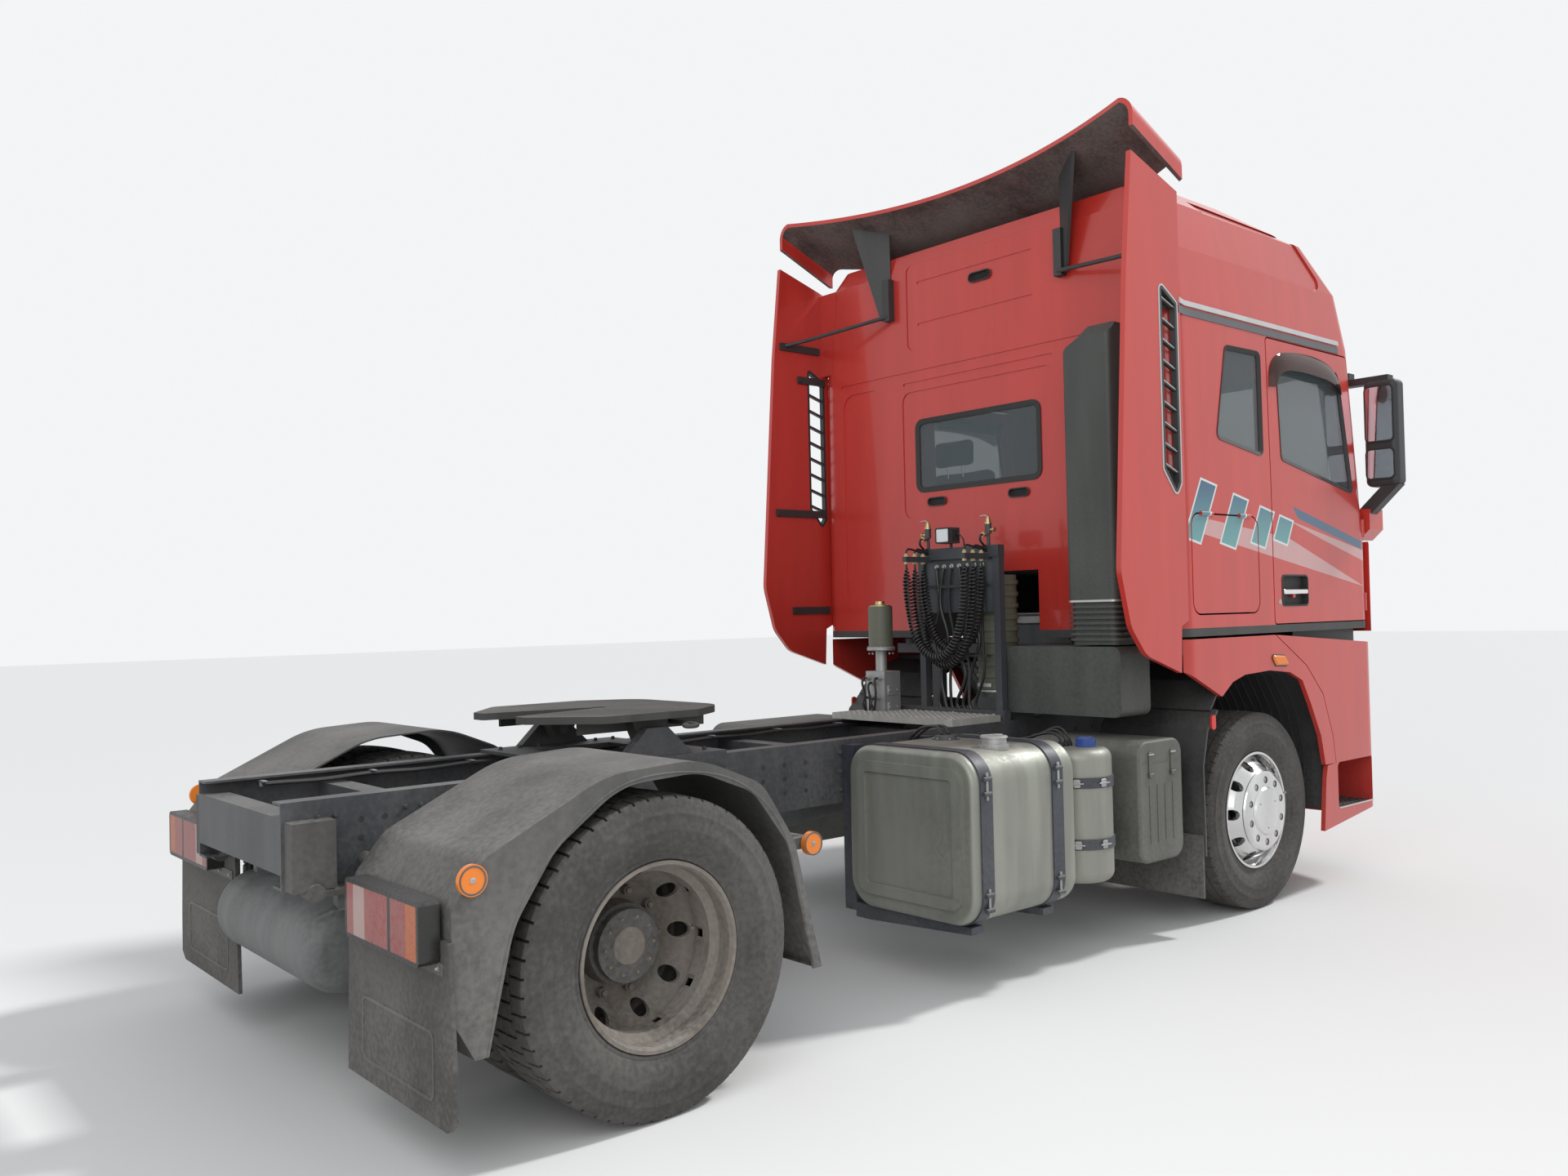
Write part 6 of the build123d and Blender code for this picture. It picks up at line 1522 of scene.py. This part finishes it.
def addFront(f):
    mesh, bright, half = Lot(), Lot(), f["half"]
    count = int(2 * half / f["meshPitch"])
    for k in range(count + 1):
        y = k * 2 * half / count - half
        mesh.slab(f["lidX"], (y - 0.0022, y + 0.0022), f["meshZ"])
    middle, pitch, count = f["slots"]
    for k in range(count):
        z = middle + (k - (count - 1) / 2) * pitch
        bright.slab(f["slotX"], (-half - 0.004, half + 0.004), (z + 0.0120, z + 0.0182))
    mesh.piece("grille_mesh", "front_lid", "dark_plastic", "sealRubber")
    bright.piece("grille_lines", "front_lid", "bright_trim", "chrome")
    addFrontPlate(f)
    lay, (x, low, high) = onFront(skinOf("headlamps")), f["vane"]
    for side, sign in sides.items():
        vane, lamp = Lot(), Lot()
        strip3(vane, between((x, low), (x, high), 12), 0.010, onSide(skinOf("louvres"), sign), -0.001, 0.003)
        vane.piece(f"vane_edge_{side}", "cab", "bright_trim", "silverTrim")
        for y, radius in f["bulbs"]:
            tip, waist = lay(sign * y, f["bulbZ"]), radius * 0.72
            lamp.lathe(tip, ahead, [(-0.050, 0.016), (-0.036, waist), (-0.014, radius),
                                    (-0.012, radius + 0.003), (-0.040, waist + 0.003), (-0.054, 0.018)], 28)
            lamp.lathe(tip, ahead, [(-0.045, 0.012), (-0.026, 0.012), (-0.020, 0.006)], 14)
        path = [(sign * y, z) for y, z in between(*f["strip"], 10)]
        strip3(lamp, path, 0.013, lay, -0.012, -0.005)
        lamp.piece(f"lamp_reflectors_{side}", "chassis", "bright_trim", "chrome")


addFront(front)

# Skirt below the cab floor that hides the gap over the bumper
apron = {"path": [(0.400, 1.165), (1.100, 1.165), (1.135, 1.155), (1.160, 1.130), (1.335, 0.735),
                  (1.355, 0.680), (1.362, 0.610)], "top": 1.4215, "lowSide": 1.325, "lowFront": 1.350,
         "frontY": 0.9, "thick": 0.006}


def addApron(a):
    path = [(x, -y) for x, y in a["path"]] + [(x, y) for x, y in reversed(a["path"])]
    lot, rows = Lot(), []
    for (x, y), (x0, y0), (x1, y1) in zip(path, path[:1] + path, path[1:] + path[-1:]):
        inward = Vector((y0 - y1, x1 - x0, 0)).normalized() * a["thick"]
        low, high = at(x, y, a["lowSide" if abs(y) > a["frontY"] else "lowFront"]), at(x, y, a["top"])
        rows.append([high, low, low + inward, high + inward])
    lot.rings(rows)
    lot.piece("cab_apron", "cab", "dark_plastic", "darkPlastic")


addApron(apron)

wipers = {"pivots": (-0.640, 0.060), "pivotZ": 2.238, "reach": 0.330, "armRise": 0.062,
          "blade": ((0.020, 0.046), (0.640, 0.096))}


def addWipers(w):
    lay, z = onFront(frontSkin), w["pivotZ"]
    arms, blades, shares = Lot(), Lot(), [k / 10 for k in range(11)]
    for y in w["pivots"]:
        arms.lathe(lay(y, z), ahead, [(-0.003, 0.017), (0.010, 0.017), (0.014, 0.012), (0.018, 0.006)], 18)
        path = [lay(y + w["reach"] * k, z + 0.010 + w["armRise"] * k, 0.016 + 0.008 * math.sin(math.pi * k))
                for k in shares]
        arms.tube(path, [0.008 - 0.003 * k for k in shares], 8)
        line = between(*((y + a, z + b) for a, b in w["blade"]), 16)
        blades.tube([lay(*q, 0.0125) for q in line], 0.0045, 8)
        strip3(blades, line, 0.004, lay, 0.0005, 0.012)
    arms.piece("wiper_arms", "cab", "dark_plastic", "sealRubber")
    blades.piece("wiper_blades", "cab", "hose_rubber", "sealRubber")


addWipers(wipers)

steps = {"x": (0.716, 1.147), "y": (0.958, 1.228), "floor": 0.4345, "ribs": (9, 8),
         "rib": (0.034, 0.005, 0.008), "lip": (1.2275, 1.2395, 0.006)}


def addStepTreads(t):
    (x0, x1), (y0, y1), z, (rows, ribs) = t["x"], t["y"], t["floor"], t["ribs"]
    (long, half, rise), (lipIn, lipOut, lipRise) = t["rib"], t["lip"]
    for side, sign in sides.items():
        tread, lip = Lot(), Lot()
        tread.slab((x0 + 0.004, x1 - 0.004), (sign * y0, sign * y1), (z, z + 0.0035))
        for k in range(rows):
            y = sign * (y0 + 0.020 + k * (y1 - y0 - 0.045) / (rows - 1))
            for j in range(ribs):
                x = x0 + 0.020 + j * (x1 - x0 - 0.040) / ribs + (0.010 if k % 2 else 0.0)
                tread.slab((x, x + long), (y - half, y + half), (z + 0.003, z + rise), 0.0045)
        lip.slab((x0, x1), (sign * lipIn, sign * lipOut), (z, z + lipRise), 0.0, 0.001)
        tread.piece(f"step_tread_{side}", "chassis", "dark_plastic", "sealRubber")
        lip.piece(f"step_lip_{side}", "chassis", "bright_trim", "silverTrim")


addStepTreads(steps)

arch = {"line": [(0.624, 0.450), (0.624, 0.757), (0.550, 0.980), (0.392, 1.181), (0.216, 1.250),
                 (-0.217, 1.250), (-0.424, 1.182), (-0.530, 1.060)], "y": (0.650, 1.190), "count": 12,
        "radius": 0.004}


def addArchRibs(a):
    for side, sign in sides.items():
        lot = Lot()
        for y, in between(a["y"][:1], a["y"][1:], a["count"]):
            lot.tube([at(x, sign * y, z) for x, z in a["line"]], a["radius"], 6)
        lot.piece(f"arch_ribs_{side}", "chassis", "dark_plastic", "darkPlastic")


addArchRibs(arch)

motor = {"cover": ((-0.380, 0.700), 0.150, (1.4785, 1.540)), "ribs": 12, "sideY": (0.329, 0.349),
         "sidePanels": ((1.30, 0.030), (1.05, 0.034), (0.82, 0.030)), "fan": (0.905, 0.985, 0.285, 9),
         "hoses": ((0.190, 1.345), (-0.210, 0.760)), "hose": 0.028}


def fanOf(x, z, radius, count):
    fan = Lot()
    fan.lathe(at(x - 0.058, 0, z), ahead, [(0, 0.070), (0.020, 0.075), (0.040, 0.075), (0.045, 0.050),
                                           (0.070, 0.045)], 28)
    for turn in range(count):
        rows = []
        for share in (0.15, 0.5, 1.0):
            r, twist, row = radius * share, (0.24 - 0.06 * share) * 0.9, []
            for end, face in ((-1, -1), (1, -1), (1, 1), (-1, 1)):
                a = math.tau * turn / count + end * twist
                row.append(at(x - 0.020 + end * 0.020 + face * 0.0015, r * math.cos(a), z + r * math.sin(a)))
            rows.append(row)
        fan.rings(rows)
    return fan


def addMotorParts(m):
    cover, hoses, (x0, x1), half, (z0, z1) = Lot(), Lot(), *m["cover"]
    cover.slab((x0, x1), (-half, half), (z0, z1), 0.035, 0.012)
    for x, in between((x0 + 0.05,), (x1 - 0.05,), m["ribs"]):
        cover.slab((x - 0.004, x + 0.004), (-half + 0.02, half - 0.02), (z1 - 0.002, z1 + 0.007))
        for sign in sides.values():
            cover.bolt(at(x, sign * (half + 0.012), z0 + 0.001), up, 0.010, 0.012)
    cover.lathe(at(x1 - 0.10, 0.085, z1 - 0.002), up, [(0, 0.036), (0.020, 0.036), (0.024, 0.030),
                                                       (0.026, 0.0)], 20)
    for z, wide in m["sidePanels"]:
        for sign in sides.values():
            cover.slab((x0 + 0.06, x1 + 0.06), [sign * y for y in m["sideY"]], (z - wide, z + wide), 0.0,
                       0.006)
    for y, z in m["hoses"]:
        hoses.hose(at(0, 0, z), ((0.835, y * 0.8, -0.04), (0.880, y * 0.9, -0.035), (0.915, y, -0.015),
                                 (0.950, y * 1.05, -0.02)), m["hose"], 6, 16)
    cover.piece("engine_covers", "chassis", "engine_paint", "castAlloy")
    fanOf(*m["fan"]).piece("engine_fan", "chassis", "dark_plastic", "darkPlastic")
    hoses.piece("coolant_hoses", "chassis", "hose_rubber", "hoseRubber")


addMotorParts(motor)
print("front and engine dressed")


# Inside the cab
def padOf(name, body, centre, size, corner, crown, tilt=0.0, seams=(), pull=0.010, cuts=14,
          material="seatCloth", slotName="seat_fabric"):
    # crowned cushion: a rounded box whose sides pull in between its corners, with sewn channels across it
    half = Vector(size) / 2
    corner = min(corner, *half)
    points, faces, index = [], [], {}

    def vertex(u, v, w):
        key = (round(u, 4), round(v, 4), round(w, 4))
        if key not in index:
            index[key] = len(points)
            p = Vector((u * half.x, v * half.y, w * half.z))
            core = Vector(max(-h + corner, min(h - corner, c)) for c, h in zip(p, half))
            away = p - core
            p = core + away.normalized() * corner if away.length > corner else p
            p.x -= math.copysign(pull * (1 - v * v) * min(1, abs(u) ** 3), u)
            p.y -= math.copysign(pull * (1 - u * u) * min(1, abs(v) ** 3), v)
            face = crown * (1 - u ** 4) * (1 - v ** 4)
            groove = sum(math.exp(-((u - s) / 0.035) ** 2) for s in seams)
            p.z += (face - crown - 0.006 * groove) * max(0, w)
            points.append(p)
        return index[key]

    steps = [-1 + 2 * k / cuts for k in range(cuts + 1)]
    for axis in range(3):
        for end in (-1, 1):
            for i in range(cuts):
                for j in range(cuts):
                    quad = []
                    for a, b in ((i, j), (i + 1, j), (i + 1, j + 1), (i, j + 1)):
                        c = [0, 0, 0]
                        c[axis], c[(axis + 1) % 3], c[(axis + 2) % 3] = end, steps[a], steps[b]
                        quad.append(vertex(*c))
                    faces.append(quad if end > 0 else quad[::-1])
    turn = Matrix.Rotation(tilt, 3, "Y")
    lot = Lot()
    lot.add([turn @ p + Vector(centre) for p in points], faces)
    obj = lot.piece(name, body, slotName, material, 60)
    sub = obj.modifiers.new("smooth", "SUBSURF")
    sub.levels = sub.render_levels = 1
    return obj


seats = {"y": 0.720, "cushion": ((0.130, 1.812), (0.530, 0.490, 0.130), 0.045, 0.016, 0.02,
                                 (-0.45, 0.05, 0.5)),
         "back": ((-0.105, 2.165), (0.560, 0.480, 0.105), 0.045, 0.016, 0.15 - math.pi / 2,
                  (-0.5, -0.1, 0.3, 0.7)), "headrest": ((-0.156, 2.548), (0.165, 0.300, 0.090), 0.040,
                                                        0.010, 0.03 - math.pi / 2, (), 0.006, 10),
         "posts": ((-0.142, 2.40), (-0.152, 2.50)), "postY": 0.06}
bunk = {"place": (-0.477, 0, 2.1145), "size": (0.522, 2.316, 0.127)}


def addSeats(s, b):
    pads = []
    for side, sign in sides.items():
        y = sign * s["y"]
        for name in ("cushion", "back", "headrest"):
            (x, z), *form = s[name]
            pads.append(padOf(f"seat_{name}_{side}", "cab", at(x, y, z), *form))
        for end, label in ((-1, "a"), (1, "b")):
            post = Lot()
            post.tube([at(x, y + end * s["postY"], z) for x, z in s["posts"]], 0.006, 10)
            post.piece(f"headrest_post_{side}_{label}", "cab", "bright_trim", "chrome")
    pads.append(padOf("bunk_mattress", "cab", at(*b["place"]), b["size"], 0.035, 0.012, 0.0,
                      (-0.4, 0.0, 0.4), 0.006, 20, "lining", "liner_fabric"))
    for pad in pads:
        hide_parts("cab_cushions")


addSeats(seats, bunk)

panel = {"face": (0.930, 1.880, 0.035 / 0.195), "cluster": (0.720, 1.985, 0.330, 0.140, 0.030, 0.004,
                                                            0.001), "dialZ": 1.990,
         "dials": ((0.640, 0.058), (0.800, 0.058)), "marks": (11, 225, 27),
         "screen": (0.100, 1.985, 0.250, 0.130, 0.012, 0.006, 0.002),
         "vents": (-1.060, -0.420, 0.330, 1.060), "ventZ": 2.005, "keys": (8, -0.080, 0.035, 1.893)}
shade = {"x": (0.215, 0.850), "y": (1.150, 1.184), "z": 2.795, "pitch": 0.011, "rolls": 5}


def addDashParts(d):
    x0, z0, slope = d["face"]
    lean = Vector((slope, 0, 1)).normalized()
    out = lean.cross(left)
    dark, bright, glass = Lot(), Lot(), Lot()

    def spot(y, z, off=-0.001):
        return at(x0 + (z - z0) * slope - off, y, z)

    def tile(lot, y, z, wide, tall, corner, depth, edge):
        lot.plate(roundedRect(wide, tall, corner), spot(y, z), -left, lean, depth, edge)

    tile(glass, *d["cluster"])
    tile(glass, *d["screen"])
    count, first, step = d["marks"]
    for y, radius in d["dials"]:
        place = spot(y, d["dialZ"], 0.0035)
        inner = radius - 0.006
        bright.lathe(place, out, [(0, inner), (0, radius), (0.004, radius - 0.001), (0.004, inner),
                                  (0, inner)], 36, 0.0, False)
        for k in range(count):
            a = math.radians(first - step * k)
            ray = (lean * math.sin(a) - left * math.cos(a)) * radius
            bright.tube([place + ray * 0.72 + out * 0.002, place + ray * 0.86 + out * 0.002], 0.0009, 5)
        hand = (lean * 0.5 + left * 0.55) * radius * 0.8
        bright.tube([place + out * 0.003, place + hand + out * 0.003], 0.0014, 5)
    outer = roundedRect(0.170, 0.075, 0.018)
    inner = grown(outer, -0.010)
    for y in d["vents"]:
        z = d["ventZ"]
        dark.loop(lambda a, b, off: spot(y + a, z + b, off), (outer, -0.001), (outer, 0.006),
                  (inner, 0.006), (inner, -0.001))
        for k in range(4):
            bar = [(0.075 * a, 0.002 * b) for a, b in ((-1, -1), (1, -1), (1, 1), (-1, 1))]
            dark.plate(bar, spot(y, z - 0.023 + 0.015 * k), -left, lean, 0.006)
    count, first, pitch, z = d["keys"]
    for k in range(count):
        tile(dark, first + pitch * k, z, 0.026, 0.020, 0.004, 0.006, 0.002)
    dark.piece("dash_vents", "cab", "dash_plastic", "sealRubber")
    bright.piece("dash_rings", "cab", "bright_trim", "silverTrim")
    glass.piece("dash_screens", "cab", "dash_plastic", "blackGlass")


def addShades(v):
    # rolled shade above each door window
    (x0, x1), (y0, y1) = v["x"], v["y"]
    for side, sign in sides.items():
        lot = Lot()
        for k in range(v["rolls"]):
            z = v["z"] + v["pitch"] * k
            lot.slab(v["x"], (sign * y0, sign * y1), (z, z + 0.009), 0.004, 0.002)
        z = v["z"] + v["pitch"] * v["rolls"]
        lot.slab((x0 - 0.010, x1 + 0.010), (sign * (y0 - 0.004), sign * (y1 + 0.0055)), (z, z + 0.030),
                 0.006, 0.003)
        lot.piece(f"window_shade_{side}", f"door_{side}", "liner_fabric", "sealRubber")


addDashParts(panel)
addShades(shade)
print("inside dressed")


# Floor
def addFloor(s):
    mesh, size = bpy.data.meshes.new("floor"), s["floorSize"]
    mesh.from_pydata([(-size, -size, 0), (size, -size, 0), (size, size, 0), (-size, size, 0)], [],
                     [[0, 1, 2, 3]])
    material, _, shader = newMaterial("floor")
    shader.inputs["Base Color"].default_value = (*s["floor"], 1)
    shader.inputs["Roughness"].default_value = 0.9
    mesh.materials.append(material)
    objectOf("floor", mesh)


addFloor(studio)
